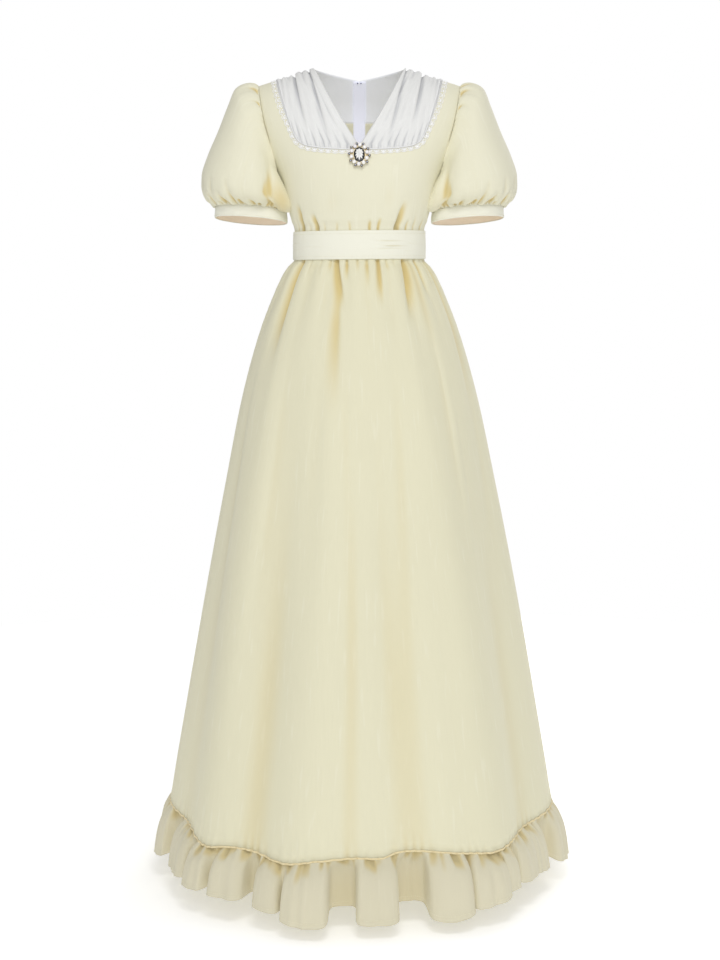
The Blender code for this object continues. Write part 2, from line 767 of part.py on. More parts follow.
def skirt_point(angle, z, side):
    """A point of the skirt at an angle in degrees, its folds standing out square to the ring."""
    turn = np.radians(angle)
    points = ring_point(SKIRT, turn, z, side)
    half_width = section_value(SKIRT, "half_width", z)
    depth = section_value(SKIRT, "front" if side < 0 else "back", z)
    outward = np.stack([np.sin(turn) / half_width, -np.cos(turn) / depth], axis=-1)
    outward /= np.linalg.norm(outward, axis=-1, keepdims=True)
    points[..., :2] += outward * skirt_relief(angle, z)[..., None]
    points[..., 2] -= hem_drop(angle, z)
    return points


def hem_drop(angle, z):
    """The front hangs a little lower than the back, more so towards the hem."""
    front = np.clip(np.cos(np.radians(angle)), 0.0, 1.0) ** 2
    return FRONT_DROP * front * smooth_step(-0.5, HEM_Z, z)


SKIRT_LEVELS = (WAIST_Z - SEAM, -0.3440, -0.3550, -0.3800, -0.4500, ZIP_FOOT_Z, -0.8000, -1.0800, FLOUNCE_Z)


def skirt_panel(columns, side):
    """A skirt panel from the waist to the flounce seam."""
    angle, z = np.meshgrid(columns, np.array(SKIRT_LEVELS))
    return skirt_point(angle, z, side)


def skirt_front():
    """The front skirt panel, between the side seams."""
    return skirt_panel(skirt_columns(FRONT_GATHERS, -90.0, 90.0), -1)


def skirt_back():
    """The left back skirt panel, from the side seam to the centre back."""
    points = skirt_panel(skirt_columns(BACK_GATHERS, 90.0, 180.0), +1)
    return seam_setback(points, 1, False, True)


def skirt_back_right():
    """The right back skirt panel, from the centre back to the side seam."""
    columns = 360.0 - skirt_columns(BACK_GATHERS, 90.0, 180.0)[::-1]
    return seam_setback(skirt_panel(columns, +1), 1, True, False)


def lobe_wave(angle):
    """The flounce's wave at an angle: +1 on a crest and -1 between two, and its depth and drop."""
    centres = [lobe.angle for lobe in LOBES]
    centres = np.array([centres[-1] - 360.0] + centres + [centres[0] + 360.0])
    depths = [lobe.depth for lobe in LOBES]
    depths = np.array([depths[-1]] + depths + [depths[0]])
    drops = [lobe.drop for lobe in LOBES]
    drops = np.array([drops[-1]] + drops + [drops[0]])
    wrapped = (angle - centres[0]) % 360.0 + centres[0]
    phase = np.interp(wrapped, centres, np.arange(len(centres)) * 2 * math.pi)
    raw = np.cos(phase)
    boxy = np.tanh(LOBE_BOXINESS * raw) / math.tanh(LOBE_BOXINESS)
    roll = np.sin(2 * phase)
    return boxy, roll, np.interp(wrapped, centres, depths), np.interp(wrapped, centres, drops)


def flounce_columns():
    """Column angles for the front and the back flounce, even within each lobe."""
    centres = [lobe.angle for lobe in LOBES] + [LOBES[0].angle + 360.0]
    columns = []
    for low, high in zip(centres, centres[1:]):
        columns += [low + (high - low) * k / LOBE_EDGES for k in range(LOBE_EDGES)]
    columns = np.array(columns)
    columns = np.where(columns > 270.0, columns - 360.0, columns)
    front = np.sort(columns[(columns > -89.0) & (columns < 89.0)])
    back = np.sort(columns[(columns > 91.0) & (columns < 269.0)])
    front = np.concatenate([[-90.0], front, [90.0]])
    back = np.concatenate([[90.0], back, [270.0]])
    return front, back


def flounce_panel(columns, side):
    """A half of the flounce, its waves growing from the seam to the hem."""
    shares = np.array([row[0] for row in FLOUNCE_GROWTH])
    growth = np.array([row[1] for row in FLOUNCE_GROWTH])
    top = FLOUNCE_Z - FLOUNCE_GAP
    levels = top + (HEM_Z - top) * shares
    angle, z = np.meshgrid(columns, levels)
    turn = np.radians(angle)
    share = np.repeat(shares[:, None], len(columns), axis=1)
    grow = np.repeat(growth[:, None], len(columns), axis=1)
    wave, roll, depth, drop = lobe_wave(angle)
    points = ring_point(SKIRT, turn, z, side)
    half_width = section_value(SKIRT, "half_width", z)
    reach = section_value(SKIRT, "front" if side < 0 else "back", z)
    outward = np.stack([np.sin(turn) / half_width, -np.cos(turn) / reach], axis=-1)
    outward /= np.linalg.norm(outward, axis=-1, keepdims=True)
    tangent = np.stack([-outward[..., 1], outward[..., 0]], axis=-1)
    relief = skirt_relief(angle, np.full_like(z, FLOUNCE_Z)) + depth * wave * grow
    inside = smooth_step(0.0, 6.0, 90.0 - np.abs(angle_gap(angle, 0.0 if side < 0 else 180.0)))
    points[..., :2] += outward * relief[..., None]
    points[..., :2] -= tangent * (LOBE_ROLL * roll * grow * inside)[..., None]
    points[..., 2] -= hem_drop(angle, z) + (drop - TROUGH_RISE * (0.5 - 0.5 * wave)) * share
    return points


def sash():
    """The sash, one band round the high waist whose left end laps over the right at the back."""
    start = -180.0 - LAP_ANGLE
    end = 180.0 + LAP_ANGLE / 3
    columns = np.linspace(start, end, SASH_EDGES + 1)
    lift = smooth_step(end - 5 * LAP_ANGLE, end - 1.6 * LAP_ANGLE, columns) * (BAND + LAYER)
    rows = []
    for z in (SASH_TOP_Z, (SASH_TOP_Z + SASH_FOOT_Z) / 2, SASH_FOOT_Z):
        turn = np.radians(columns)
        front = ring_point(TORSO, turn, z, -1)
        back = ring_point(TORSO, turn, z, +1)
        behind = np.cos(turn) < 0
        ring = np.where(behind[:, None], back, front)
        flat = np.abs(np.cos(turn)) < 0.05
        ring[flat, 1] -= np.sign(ring[flat, 1]) * SEAM / 2
        outward = np.stack([np.sin(turn), -np.cos(turn)], axis=-1)
        ring[:, :2] += outward * (BAND + SASH_EASE + lift)[:, None]
        rows.append(ring)
    return np.array(rows)


def lace_front(bodice):
    """The lace, laid on the bodice's own points beside the yoke seam, with a scalloped edge."""
    corner_row = YOKE_SIDE_EDGES
    middle = bodice.shape[1] // 2
    band = np.full_like(bodice, np.nan)
    raised = bodice + grid_normals(bodice) * (LACE_LIFT + LACE)
    for side in (-1, 1):
        inner = middle + side * YOKE_FOOT_EDGES
        outer = inner + side
        for row in range(corner_row + 1):
            band[row, inner] = raised[row, inner]
            notch = LACE_NOTCH if row % 2 else 1.0
            band[row, outer] = raised[row, inner] + (raised[row, outer] - raised[row, inner]) * notch
        band[corner_row + 1, outer] = raised[corner_row + 1, outer]
    span = slice(middle - YOKE_FOOT_EDGES, middle + YOKE_FOOT_EDGES + 1)
    top = raised[corner_row, span]
    notch = np.where(np.arange(len(top)) % 2 == 0, 1.0, LACE_NOTCH)[:, None]
    band[corner_row, span] = top
    band[corner_row + 1, span] = top + (raised[corner_row + 1, span] - top) * notch
    return band


def back_line(z):
    """The outer face of the centre back of the bodice at height z."""
    return torso_point(np.array(math.pi), np.array(z), +1)


def zip_tape(yoke, bodice, skirt):
    """The zip tape, a strip that follows the inner face of the panels' centre-back edges."""
    bodice_edge = bodice[YOKE_SIDE_EDGES:, -1]
    skirt_edge = skirt[:, -1]
    skirt_edge = skirt_edge[skirt_edge[:, 2] > ZIP_FOOT_Z - SEAM]
    line = np.concatenate([yoke[:, -1], bodice_edge, skirt_edge])
    line[:, 0] = 0.0
    line[0, 2] -= 0.002
    keep = [0]
    for index in range(1, len(line)):
        if line[keep[-1], 2] - line[index, 2] > 2 * SEAM:
            keep.append(index)
    line = line[keep]
    along_line = np.gradient(line, axis=0)
    normal = np.stack([np.zeros(len(line)), -along_line[:, 2], along_line[:, 1]], axis=-1)
    normal /= np.linalg.norm(normal, axis=1, keepdims=True)
    inner = line - normal * (COTTON + TAPE_GAP)
    sides = [inner + np.array([x, 0.0, 0.0]) for x in (TAPE_HALF, 0.0, -TAPE_HALF)]
    return np.stack(sides, axis=1)


# Turning grids into solids

def wall(collection, name, points, thickness, material, closed=False):
    """A cloth wall: an open grid surface, thickened inward by a Solidify modifier."""
    there = np.isfinite(points[..., 0]).reshape(-1)
    number = np.cumsum(there) - 1
    vertices = [tuple(point) for point in points.reshape(-1, 3)[there]]
    faces = [tuple(int(number[index]) for index in face) for face in grid_faces(points, closed)]
    mesh = bpy.data.meshes.new(name)
    mesh.from_pydata(vertices, [], faces)
    mesh.materials.append(material)
    mesh.shade_smooth()
    item = bpy.data.objects.new(name, mesh)
    collection.objects.link(item)
    shell = item.modifiers.new("cloth", "SOLIDIFY")
    shell.thickness = thickness
    shell.offset = -1.0
    shell.use_even_offset = True
    return item


def link_only(item, collection):
    """Keeps an object in one collection."""
    for old in list(item.users_collection):
        old.objects.unlink(item)
    collection.objects.link(item)


def apply_mesh(item):
    """Replaces an object's mesh by its evaluated one and drops the modifiers."""
    graph = bpy.context.evaluated_depsgraph_get()
    mesh = bpy.data.meshes.new_from_object(item.evaluated_get(graph))
    item.modifiers.clear()
    item.data = mesh


def join_solids(base, others):
    """Unions other closed solids into base, one after another, and removes them."""
    for other in others:
        cut = base.modifiers.new("join", "BOOLEAN")
        cut.operation = "UNION"
        cut.solver = "EXACT"
        cut.object = other
        apply_mesh(base)
        bpy.data.objects.remove(other, do_unlink=True)
    return base


def bake_transform(item, matrix):
    """Moves an object's mesh by a matrix and leaves the object itself at the origin."""
    item.data.transform(matrix @ item.matrix_basis)
    item.matrix_basis = Matrix.Identity(4)


def surface_frame(origin, normal):
    """A matrix whose X runs to the wearer's left, Y runs up the cloth and Z stands out from it."""
    out = Vector(normal).normalized()
    side = Vector((1.0, 0.0, 0.0))
    if out.y > 0:
        side = Vector((-1.0, 0.0, 0.0))
    up = out.cross(side).normalized()
    side = up.cross(out).normalized()
    frame = Matrix((side, up, out)).transposed().to_4x4()
    frame.translation = Vector(origin)
    return frame


def slope_normal(point_at, z):
    """The outward normal in the centre plane of a line given by height."""
    high = point_at(z + 0.004)
    low = point_at(z - 0.004)
    step = high - low
    outward = np.array([0.0, step[2], -step[1]])
    if point_at(z)[1] < 0:
        outward = -outward
    return outward / np.linalg.norm(outward)


def front_line(z):
    """The outer face of the centre front at height z."""
    return torso_point(np.array(0.0), np.array(z), -1)


def brooch(collection, gold, cameo_black):
    """The brooch: an oval setting with pearls and stones, and a domed centre with a flower."""
    normal = slope_normal(front_line, BROOCH_Z)
    seat = front_line(BROOCH_Z) + normal * (LACE_LIFT + LACE + LAYER)
    frame = surface_frame(seat, normal)

    bpy.ops.mesh.primitive_cylinder_add(vertices=32, radius=1.0, depth=PLATE_THICK)
    plate = bpy.context.object
    plate.name = "brooch_setting"
    plate.data.transform(Matrix.Diagonal((PLATE_HALF_WIDTH, PLATE_HALF_HEIGHT, 1.0, 1.0)))
    plate.data.transform(Matrix.Translation((0.0, 0.0, PLATE_THICK / 2)))
    beads = []
    for index in range(STONE_COUNT):
        turn = 2 * math.pi * (index + 0.5) / STONE_COUNT
        bpy.ops.mesh.primitive_uv_sphere_add(segments=8, ring_count=4, radius=PEARL_RADIUS)
        pearl = bpy.context.object
        place = (PEARL_ORBIT_X * math.sin(turn), PEARL_ORBIT_Z * math.cos(turn), PLATE_THICK + 0.0014)
        pearl.data.transform(Matrix.Translation(place))
        beads.append(pearl)
        turn = 2 * math.pi * index / STONE_COUNT
        bpy.ops.mesh.primitive_cone_add(
            vertices=6, radius1=STONE_RADIUS, radius2=STONE_RADIUS * 0.55, depth=0.0022)
        stone = bpy.context.object
        place = (STONE_ORBIT_X * math.sin(turn), STONE_ORBIT_Z * math.cos(turn), PLATE_THICK + 0.0006)
        stone.data.transform(Matrix.Translation(place))
        beads.append(stone)
    join_solids(plate, beads)
    plate.data.materials.clear()
    plate.data.materials.append(gold)
    bake_transform(plate, frame)
    link_only(plate, collection)

    bpy.ops.mesh.primitive_uv_sphere_add(segments=18, ring_count=6, radius=1.0)
    dome = bpy.context.object
    dome.name = "brooch_cameo"
    dome.data.transform(Matrix.Diagonal((CAMEO_HALF_WIDTH, CAMEO_HALF_HEIGHT, CAMEO_RISE, 1.0)))
    flatten_below(dome.data, 0.0)
    petals = []
    for index in range(PETAL_COUNT):
        turn = 2 * math.pi * index / PETAL_COUNT
        bpy.ops.mesh.primitive_uv_sphere_add(segments=6, ring_count=4, radius=1.0)
        petal = bpy.context.object
        petal.data.transform(Matrix.Diagonal((PETAL_HALF_WIDTH, PETAL_HALF_LENGTH, PETAL_RISE, 1.0)))
        petal.data.transform(Matrix.Translation((0.0, PETAL_ORBIT, CAMEO_RISE - PETAL_RISE / 2)))
        petal.data.transform(Matrix.Rotation(turn, 4, "Z"))
        petals.append(petal)
    join_solids(dome, petals)
    dome.data.materials.clear()
    dome.data.materials.append(cameo_black)
    bake_transform(dome, frame @ Matrix.Translation((0.0, 0.0, PLATE_THICK + LAYER)))
    link_only(dome, collection)


def flatten_below(mesh, level):
    """Cuts a mesh off at a level and closes it there."""
    solid = bmesh.new()
    solid.from_mesh(mesh)
    geometry = solid.verts[:] + solid.edges[:] + solid.faces[:]
    cut = bmesh.ops.bisect_plane(
        solid, geom=geometry, dist=1e-7, plane_co=(0, 0, level), plane_no=(0, 0, -1), clear_outer=True)
    rim = [edge for edge in cut["geom_cut"] if isinstance(edge, bmesh.types.BMEdge)]
    bmesh.ops.contextual_create(solid, geom=rim)
    bmesh.ops.recalc_face_normals(solid, faces=solid.faces[:])
    solid.to_mesh(mesh)
    solid.free()


def box(name, size, place):
    """A box of a size about a place."""
    bpy.ops.mesh.primitive_cube_add(size=1.0)
    item = bpy.context.object
    item.name = name
    item.data.transform(Matrix.Diagonal((*size, 1.0)))
    item.data.transform(Matrix.Translation(place))
    return item


def cylinder_x(name, radius, width, place, vertices):
    """A cylinder along X about a place."""
    bpy.ops.mesh.primitive_cylinder_add(vertices=vertices, radius=radius, depth=width)
    item = bpy.context.object
    item.name = name
    item.data.transform(Matrix.Rotation(math.pi / 2, 4, "Y"))
    item.data.transform(Matrix.Translation(place))
    return item


def zip_fittings(collection, cutters, metal):
    """The slider at the top of the zip and the pull tab that swings on its pin."""
    normal = slope_normal(back_line, SLIDER_Z)
    seat = back_line(SLIDER_Z) + normal * LAYER
    frame = surface_frame(seat, normal)
    pin_height = SLIDER_THICK + LUG_RISE - 0.0018

    body = box("zip_slider", (SLIDER_WIDTH, SLIDER_LENGTH, SLIDER_THICK), (0.0, 0.0, SLIDER_THICK / 2))
    lug_x = BARREL_WIDTH / 2 + LAYER + LUG_WIDTH / 2
    extras = []
    for side in (-1, 1):
        size = (LUG_WIDTH, 0.0036, LUG_RISE + 0.0002)
        place = (side * lug_x, 0.0, SLIDER_THICK - 0.0002 + (LUG_RISE + 0.0002) / 2)
        extras.append(box("lug", size, place))
    extras.append(cylinder_x("pin", PIN_RADIUS, 2 * lug_x, (0.0, 0.0, pin_height), 10))
    join_solids(body, extras)
    body.data.materials.clear()
    body.data.materials.append(metal)
    bake_transform(body, frame)
    link_only(body, collection)

    pull = cylinder_x("zip_pull", BARREL_RADIUS, BARREL_WIDTH, (0.0, 0.0, 0.0), 14)
    outline = bpy.data.curves.new("tab_outline", "CURVE")
    outline.dimensions = "2D"
    outline.fill_mode = "BOTH"
    outline.extrude = TAB_THICK / 2
    outline.resolution_u = 4
    spline = outline.splines.new("POLY")
    corners = tab_outline()
    spline.points.add(len(corners) - 1)
    for point, corner in zip(spline.points, corners):
        point.co = (*corner, 0.0, 1.0)
    spline.use_cyclic_u = True
    flat = bpy.data.objects.new("tab_outline", outline)
    collection.objects.link(flat)
    tab = as_mesh(flat, collection)
    join_solids(pull, [tab])
    bore = cylinder_x("pull_bore", BARREL_HOLE, BARREL_WIDTH * 2, (0.0, 0.0, 0.0), 14)
    link_only(bore, cutters)
    bore.hide_render = True
    bore.display_type = "WIRE"
    cut = pull.modifiers.new("bore", "BOOLEAN")
    cut.operation = "DIFFERENCE"
    cut.solver = "EXACT"
    cut.object = bore
    apply_mesh(pull)
    pull.data.materials.clear()
    pull.data.materials.append(metal)
    link_only(pull, collection)
    rest = Matrix.Rotation(math.radians(TAB_REST_TILT), 4, "X")
    pull.matrix_world = frame @ Matrix.Translation((0.0, 0.0, pin_height)) @ rest
    bore.matrix_world = pull.matrix_world.copy()


def tab_outline():
    """The pull tab's outline, narrow at its barrel and round at its foot."""
    neck = BARREL_WIDTH / 2 - 0.0004
    half = TAB_WIDTH / 2
    centre_y = -(TAB_LENGTH - half)
    corners = [(neck, 0.0), (-neck, 0.0), (-neck, -0.0040)]
    for step in range(9):
        turn = math.pi * (1.0 + step / 8)
        corners.append((half * math.cos(turn), centre_y + half * math.sin(turn)))
    corners.append((neck, -0.0040))
    return corners


def as_mesh(curve_object, collection):
    """A closed mesh object from a filled curve object, which is removed."""
    graph = bpy.context.evaluated_depsgraph_get()
    mesh = bpy.data.meshes.new_from_object(curve_object.evaluated_get(graph))
    solid = bmesh.new()
    solid.from_mesh(mesh)
    bmesh.ops.remove_doubles(solid, verts=solid.verts[:], dist=0.000001)
    bmesh.ops.recalc_face_normals(solid, faces=solid.faces[:])
    solid.to_mesh(mesh)
    solid.free()
    item = bpy.data.objects.new(curve_object.name + "_mesh", mesh)
    item.matrix_world = curve_object.matrix_world.copy()
    collection.objects.link(item)
    bpy.data.objects.remove(curve_object, do_unlink=True)
    return item


def build():
    """Builds every piece of the gown."""
    gown, cutters = start_clean()
    cream = make_material("cream_cotton", (0.80, 0.76, 0.56), 0.75)
    pale = make_material("pale_cotton", (0.87, 0.86, 0.72), 0.75)
    chiffon = make_material("white_chiffon", (0.80, 0.80, 0.80), 0.65)
    white_lace = make_material("white_lace", (0.86, 0.86, 0.85), 0.80)
    tape_cloth = make_material("zip_tape", (0.72, 0.72, 0.86), 0.80)
    metal = make_material("white_enamel", (0.78, 0.78, 0.80), 0.35, 0.4)
    gold = make_material("gold_setting", (0.70, 0.50, 0.22), 0.30, 1.0)
    black = make_material("black_cameo", (0.03, 0.04, 0.05), 0.35)

    front = bodice_front()
    wall(gown, "bodice_front", front, COTTON, cream)
    back = bodice_back()
    wall(gown, "bodice_back_left", back, COTTON, cream)
    wall(gown, "bodice_back_right", flip_half(back), COTTON, cream)
    yoke = yoke_front()
    wall(gown, "yoke_front_left", yoke, CHIFFON, chiffon)
    wall(gown, "yoke_front_right", flip_half(yoke), CHIFFON, chiffon)
    yoke_rear = yoke_back()
    wall(gown, "yoke_back_left", yoke_rear, CHIFFON, chiffon)
    wall(gown, "yoke_back_right", flip_half(yoke_rear), CHIFFON, chiffon)

    sleeve_points, turn = sleeve()
    wall(gown, "sleeve_left", sleeve_points, COTTON, cream, closed=True)
    wall(gown, "sleeve_right", flip_half(sleeve_points), COTTON, cream, closed=True)
    band = cuff(turn)
    wall(gown, "cuff_left", band, BAND, pale, closed=True)
    wall(gown, "cuff_right", flip_half(band), BAND, pale, closed=True)

    wall(gown, "sash", sash(), BAND, pale)
    wall(gown, "skirt_front", skirt_front(), COTTON, cream)
    skirt_left = skirt_back()
    wall(gown, "skirt_back_left", skirt_left, COTTON, cream)
    wall(gown, "skirt_back_right", skirt_back_right(), COTTON, cream)
    front_columns, back_columns = flounce_columns()
    wall(gown, "flounce_front", flounce_panel(front_columns, -1), COTTON, cream)
    wall(gown, "flounce_back", flounce_panel(back_columns, +1), COTTON, cream)

    wall(gown, "lace_front", lace_front(front), LACE, white_lace)
    wall(gown, "zip_tape", zip_tape(yoke_rear, back, skirt_left), TAPE, tape_cloth)
    zip_fittings(gown, cutters, metal)
    brooch(gown, gold, black)


build()
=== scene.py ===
"""Looks of a hollow floor-length gown with puff sleeves, a chiffon yoke and a hem flounce.

Metres, +Z up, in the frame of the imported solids. The front faces -Y, the wearer's left is +X.
"""

import logging
import math
from collections.abc import Callable, Sequence
from dataclasses import dataclass, replace
from enum import Enum
from typing import NamedTuple

import bpy
import numpy as np
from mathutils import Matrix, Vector


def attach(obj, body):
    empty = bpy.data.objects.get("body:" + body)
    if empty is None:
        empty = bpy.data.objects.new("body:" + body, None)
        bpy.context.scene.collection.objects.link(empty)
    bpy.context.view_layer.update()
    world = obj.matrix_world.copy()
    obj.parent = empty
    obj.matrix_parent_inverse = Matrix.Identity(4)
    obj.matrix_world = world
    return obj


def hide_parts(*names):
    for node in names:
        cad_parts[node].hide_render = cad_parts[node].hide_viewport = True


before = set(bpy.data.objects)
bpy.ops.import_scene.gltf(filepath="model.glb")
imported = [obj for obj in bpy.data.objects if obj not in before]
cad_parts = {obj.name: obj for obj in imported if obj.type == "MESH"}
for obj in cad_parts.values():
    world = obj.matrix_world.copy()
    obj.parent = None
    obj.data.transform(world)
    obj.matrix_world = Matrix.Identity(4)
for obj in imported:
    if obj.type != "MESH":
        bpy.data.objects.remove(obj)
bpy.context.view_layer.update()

LOG = logging.getLogger("gown")
Array = np.ndarray
Colour = tuple[float, float, float]
Paint = tuple[int, int, int]
Span = tuple[float, float]
Curve = Callable[[Array], tuple[Array, Array]]
Item = bpy.types.Object
Material = bpy.types.Material
Socket = bpy.types.NodeSocket
GOWN = "gown"
GRAIN = "grain"
PAINTED_SHADE_ATTRIBUTE = "hollow"
GOLDEN = 0.618034
ACROSS = np.array([1.0, 0.0, 0.0])
MIRROR = np.array([-1.0, 1.0, 1.0])


class Side(Enum):
    """Front or back of the gown, as the sign of its depth along Y."""

    FRONT = -1
    BACK = 1


class Section(NamedTuple):
    """A level ring of the body: its half width, its depths either way, and its squareness."""

    z: float
    half_width: float
    front: float
    back: float
    centre: float
    power: float


class SleeveSection(NamedTuple):
    """A ring of the sleeve: its crest, its underarm point and its half depth."""

    crest_x: float
    crest_z: float
    under_x: float
    under_z: float
    depth: float


class Crease(NamedTuple):
    """A trough in the cloth, or a ridge where depth is negative.

    It starts at a place across the cloth and drifts sideways over its length. The width
    is in the units of the place across; a positive skew makes its far side the steeper.
    """

    at: float
    drift: float
    start: float
    length: float
    depth: float
    width: float
    skew: float = 0.0


class Lobe(NamedTuple):
    """A box-like wave of the flounce, between two flanks.

    It stands out by depth and hangs lower by drop, and the hem beyond it rises.
    """

    angle: float
    half_width: float
    depth: float
    drop: float
    rise: float


class Fold(NamedTuple):
    """A long soft fold of the skirt, from its waist angle to its hem angle."""

    top_angle: float
    hem_angle: float
    width: float
    depth: float


# Levels of the gown, and the gap that keeps neighbouring pieces apart
SEAM = 0.0005
SASH_TOP_Z = -0.2915
SASH_FOOT_Z = -0.3435
TUCK_Z = -0.2900
WAIST_Z = -0.3180
ARMPIT_Z = -0.185
FLOUNCE_Z = -1.3430
HEM_Z = -1.4550
ZIP_FOOT_Z = -0.560
FOLDS_Z = -0.400


def rows_of(kind: type, *rows: tuple[float, ...]) -> tuple[tuple[float, ...], ...]:
    """Makes a table from the fields of each row, in the order that its kind gives them."""
    return tuple(kind(*row) for row in rows)

TORSO = rows_of(
    Section,
    (-0.32, 0.1185, 0.0955, 0.083, 0.0, 2.15), (-0.286, 0.119, 0.0965, 0.0832, 0.0, 2.15),
    (-0.276, 0.123, 0.101, 0.0846, 0.0, 2.18), (-0.264, 0.1262, 0.104, 0.086, 0.0, 2.2),
    (-0.229, 0.1372, 0.114, 0.091, 0.0, 2.25), (-0.185, 0.15, 0.12, 0.097, 0.0, 2.3),
    (-0.14, 0.173, 0.112, 0.101, 0.001, 2.35), (-0.1, 0.189, 0.101, 0.099, 0.002, 2.4),
    (-0.06, 0.198, 0.092, 0.09, 0.003, 2.4), (-0.03, 0.203, 0.088, 0.08, 0.004, 2.4),
    (0.04, 0.206, 0.08, 0.072, 0.004, 2.4),
)

SKIRT = rows_of(
    Section,
    (-1.475, 0.368, 0.388, 0.38, 0.0, 2.12), (-1.4, 0.362, 0.383, 0.375, 0.0, 2.12),
    (-1.343, 0.355, 0.376, 0.368, 0.0, 2.12), (-1.148, 0.322, 0.334, 0.328, 0.0, 2.06),
    (-0.919, 0.2815, 0.282, 0.277, 0.0, 2.02), (-0.75, 0.249, 0.24, 0.235, 0.0, 2.0),
    (-0.583, 0.214, 0.197, 0.19, 0.0, 2.0), (-0.472, 0.182, 0.16, 0.151, 0.0, 2.0),
    (-0.417, 0.161, 0.138, 0.128, 0.0, 2.0), (-0.375, 0.142, 0.119, 0.107, 0.0, 2.05),
    (-0.356, 0.13, 0.107, 0.094, 0.0, 2.1), (-0.344, 0.1186, 0.0955, 0.083, 0.0, 2.15),
    (-0.318, 0.1186, 0.0955, 0.083, 0.0, 2.15),
)

SLEEVE = rows_of(
    SleeveSection,
    (0.1825, -0.031, 0.1505, -0.185, 0.06), (0.1985, -0.0215, 0.15, -0.192, 0.064),
    (0.2225, -0.0355, 0.1478, -0.2, 0.07), (0.2375, -0.07, 0.1448, -0.21, 0.077),
    (0.255, -0.114, 0.141, -0.222, 0.084), (0.274, -0.157, 0.1376, -0.234, 0.088),
    (0.2855, -0.195, 0.1346, -0.244, 0.086), (0.2838, -0.22, 0.1328, -0.25, 0.077),
    (0.275, -0.2375, 0.132, -0.2545, 0.062), (0.2637, -0.2475, 0.132, -0.2575, 0.0485),
)
SLEEVE_END = len(SLEEVE) - 1.0


YOKE_LINE = (
    (0.1466, -0.0375), (0.1355, -0.0748), (0.1228, -0.1069), (0.111, -0.133), (0.1035, -0.1404),
    (0.093, -0.1452), (0.0798, -0.148), (0.064, -0.1502), (0.0374, -0.1522), (0.0, -0.153),
)


def hermite(knots: Sequence[float], values: Sequence[float], where: Array) -> Array:
    """Reads a smooth curve through values at rising knots.

    Args:
        knots: Rising places.
        values: The curve's value at each knot.
        where: Places to read, held to the knots' range.

    Returns:
        The curve's values at those places.
    """
    knots = np.asarray(knots, float)
    values = np.asarray(values, float)
    where = np.clip(np.asarray(where, float), knots[0], knots[-1])
    slopes = np.diff(values) / np.diff(knots)
    tangents = np.concatenate([slopes[:1], (slopes[:-1] + slopes[1:]) / 2, slopes[-1:]])
    tangents[1:-1][slopes[:-1] * slopes[1:] <= 0] = 0.0
    cell = np.clip(np.searchsorted(knots, where, side="right") - 1, 0, len(knots) - 2)
    step = knots[cell + 1] - knots[cell]
    t = (where - knots[cell]) / step
    return (
        values[cell] * (2 * t**3 - 3 * t**2 + 1)
        + tangents[cell] * step * (t**3 - 2 * t**2 + t)
        + values[cell + 1] * (3 * t**2 - 2 * t**3)
        + tangents[cell + 1] * step * (t**3 - t**2)
    )


def section_value(table: Sequence[Section], column: str, z: Array) -> Array:
    """Reads one column of a section table at heights z."""
    return hermite([row.z for row in table], [getattr(row, column) for row in table], z)


def smooth_step(start: float, end: float, value: Array) -> Array:
    """Rises evenly from 0 at start to 1 at end."""
    t = np.clip((np.asarray(value, float) - start) / (end - start), 0.0, 1.0)
    return t * t * (3 - 2 * t)


def uneven(index: int, low: float, high: float, turn: float = GOLDEN) -> float:
    """A value between low and high that scatters evenly as the index rises."""
    return low + (high - low) * ((index * turn + 0.37) % 1.0)


def unit(vectors: Array) -> Array:
    """Vectors scaled to a length of one."""
    return vectors / np.maximum(np.linalg.norm(vectors, axis=-1, keepdims=True), 1e-12)


def bell(gap: Array, width: float) -> Array:
    """A smooth bump, 1 at a gap of 0, that dies away over about a width."""
    return np.exp(-((gap / width) ** 2))


def lengths_along(line: Array) -> Array:
    """The length of a line of points up to each of them."""
    return np.concatenate([[0.0], np.cumsum(np.linalg.norm(np.diff(line, axis=0), axis=1))])


def read_along(values: Array, lengths: Array, places: Array) -> Array:
    """Reads rows of values, one at each rising length, at places between them."""
    return np.stack([np.interp(places, lengths, column) for column in values.T], axis=-1)


def cell_corners(grid: Array, axis: int = -1) -> Array:
    """The four corners of every cell of a grid, on a new axis."""
    return np.stack([grid[:-1, :-1], grid[1:, :-1], grid[1:, 1:], grid[:-1, 1:]], axis=axis)


def full_turn(number: int) -> Array:
    """Even angles all round, from 0."""
    return np.arange(number) * 2 * math.pi / number


def ring_point(table: Sequence[Section], angle: Array, z: Array, side: Side, rise: Array = 1.0) -> Array:
    """Places points on the level rings of a body.

    Args:
        table: The rings.
        angle: Ring angle in radians, 0 at the centre front.
        z: Heights.
        side: The half that the points lie on.
        rise: Share of the ring's depth that is kept.

    Returns:
        The points, with a last axis of three.
    """
    power = 2.0 / section_value(table, "power", z)
    column = "front" if side is Side.FRONT else "back"
    sine = np.sin(angle)
    x = section_value(table, "half_width", z) * np.sign(sine) * np.abs(sine) ** power
    reach = section_value(table, column, z) * np.abs(np.cos(angle)) ** power * rise
    y = section_value(table, "centre", z) + side.value * (reach + SEAM / 2)
    return np.stack([x, y, np.broadcast_to(z, np.shape(x)) + 0.0 * x], axis=-1)


def angle_gap(angle: Array, centre: float) -> Array:
    """The signed gap between two angles in degrees."""
    return (angle - centre + 180.0) % 360.0 - 180.0


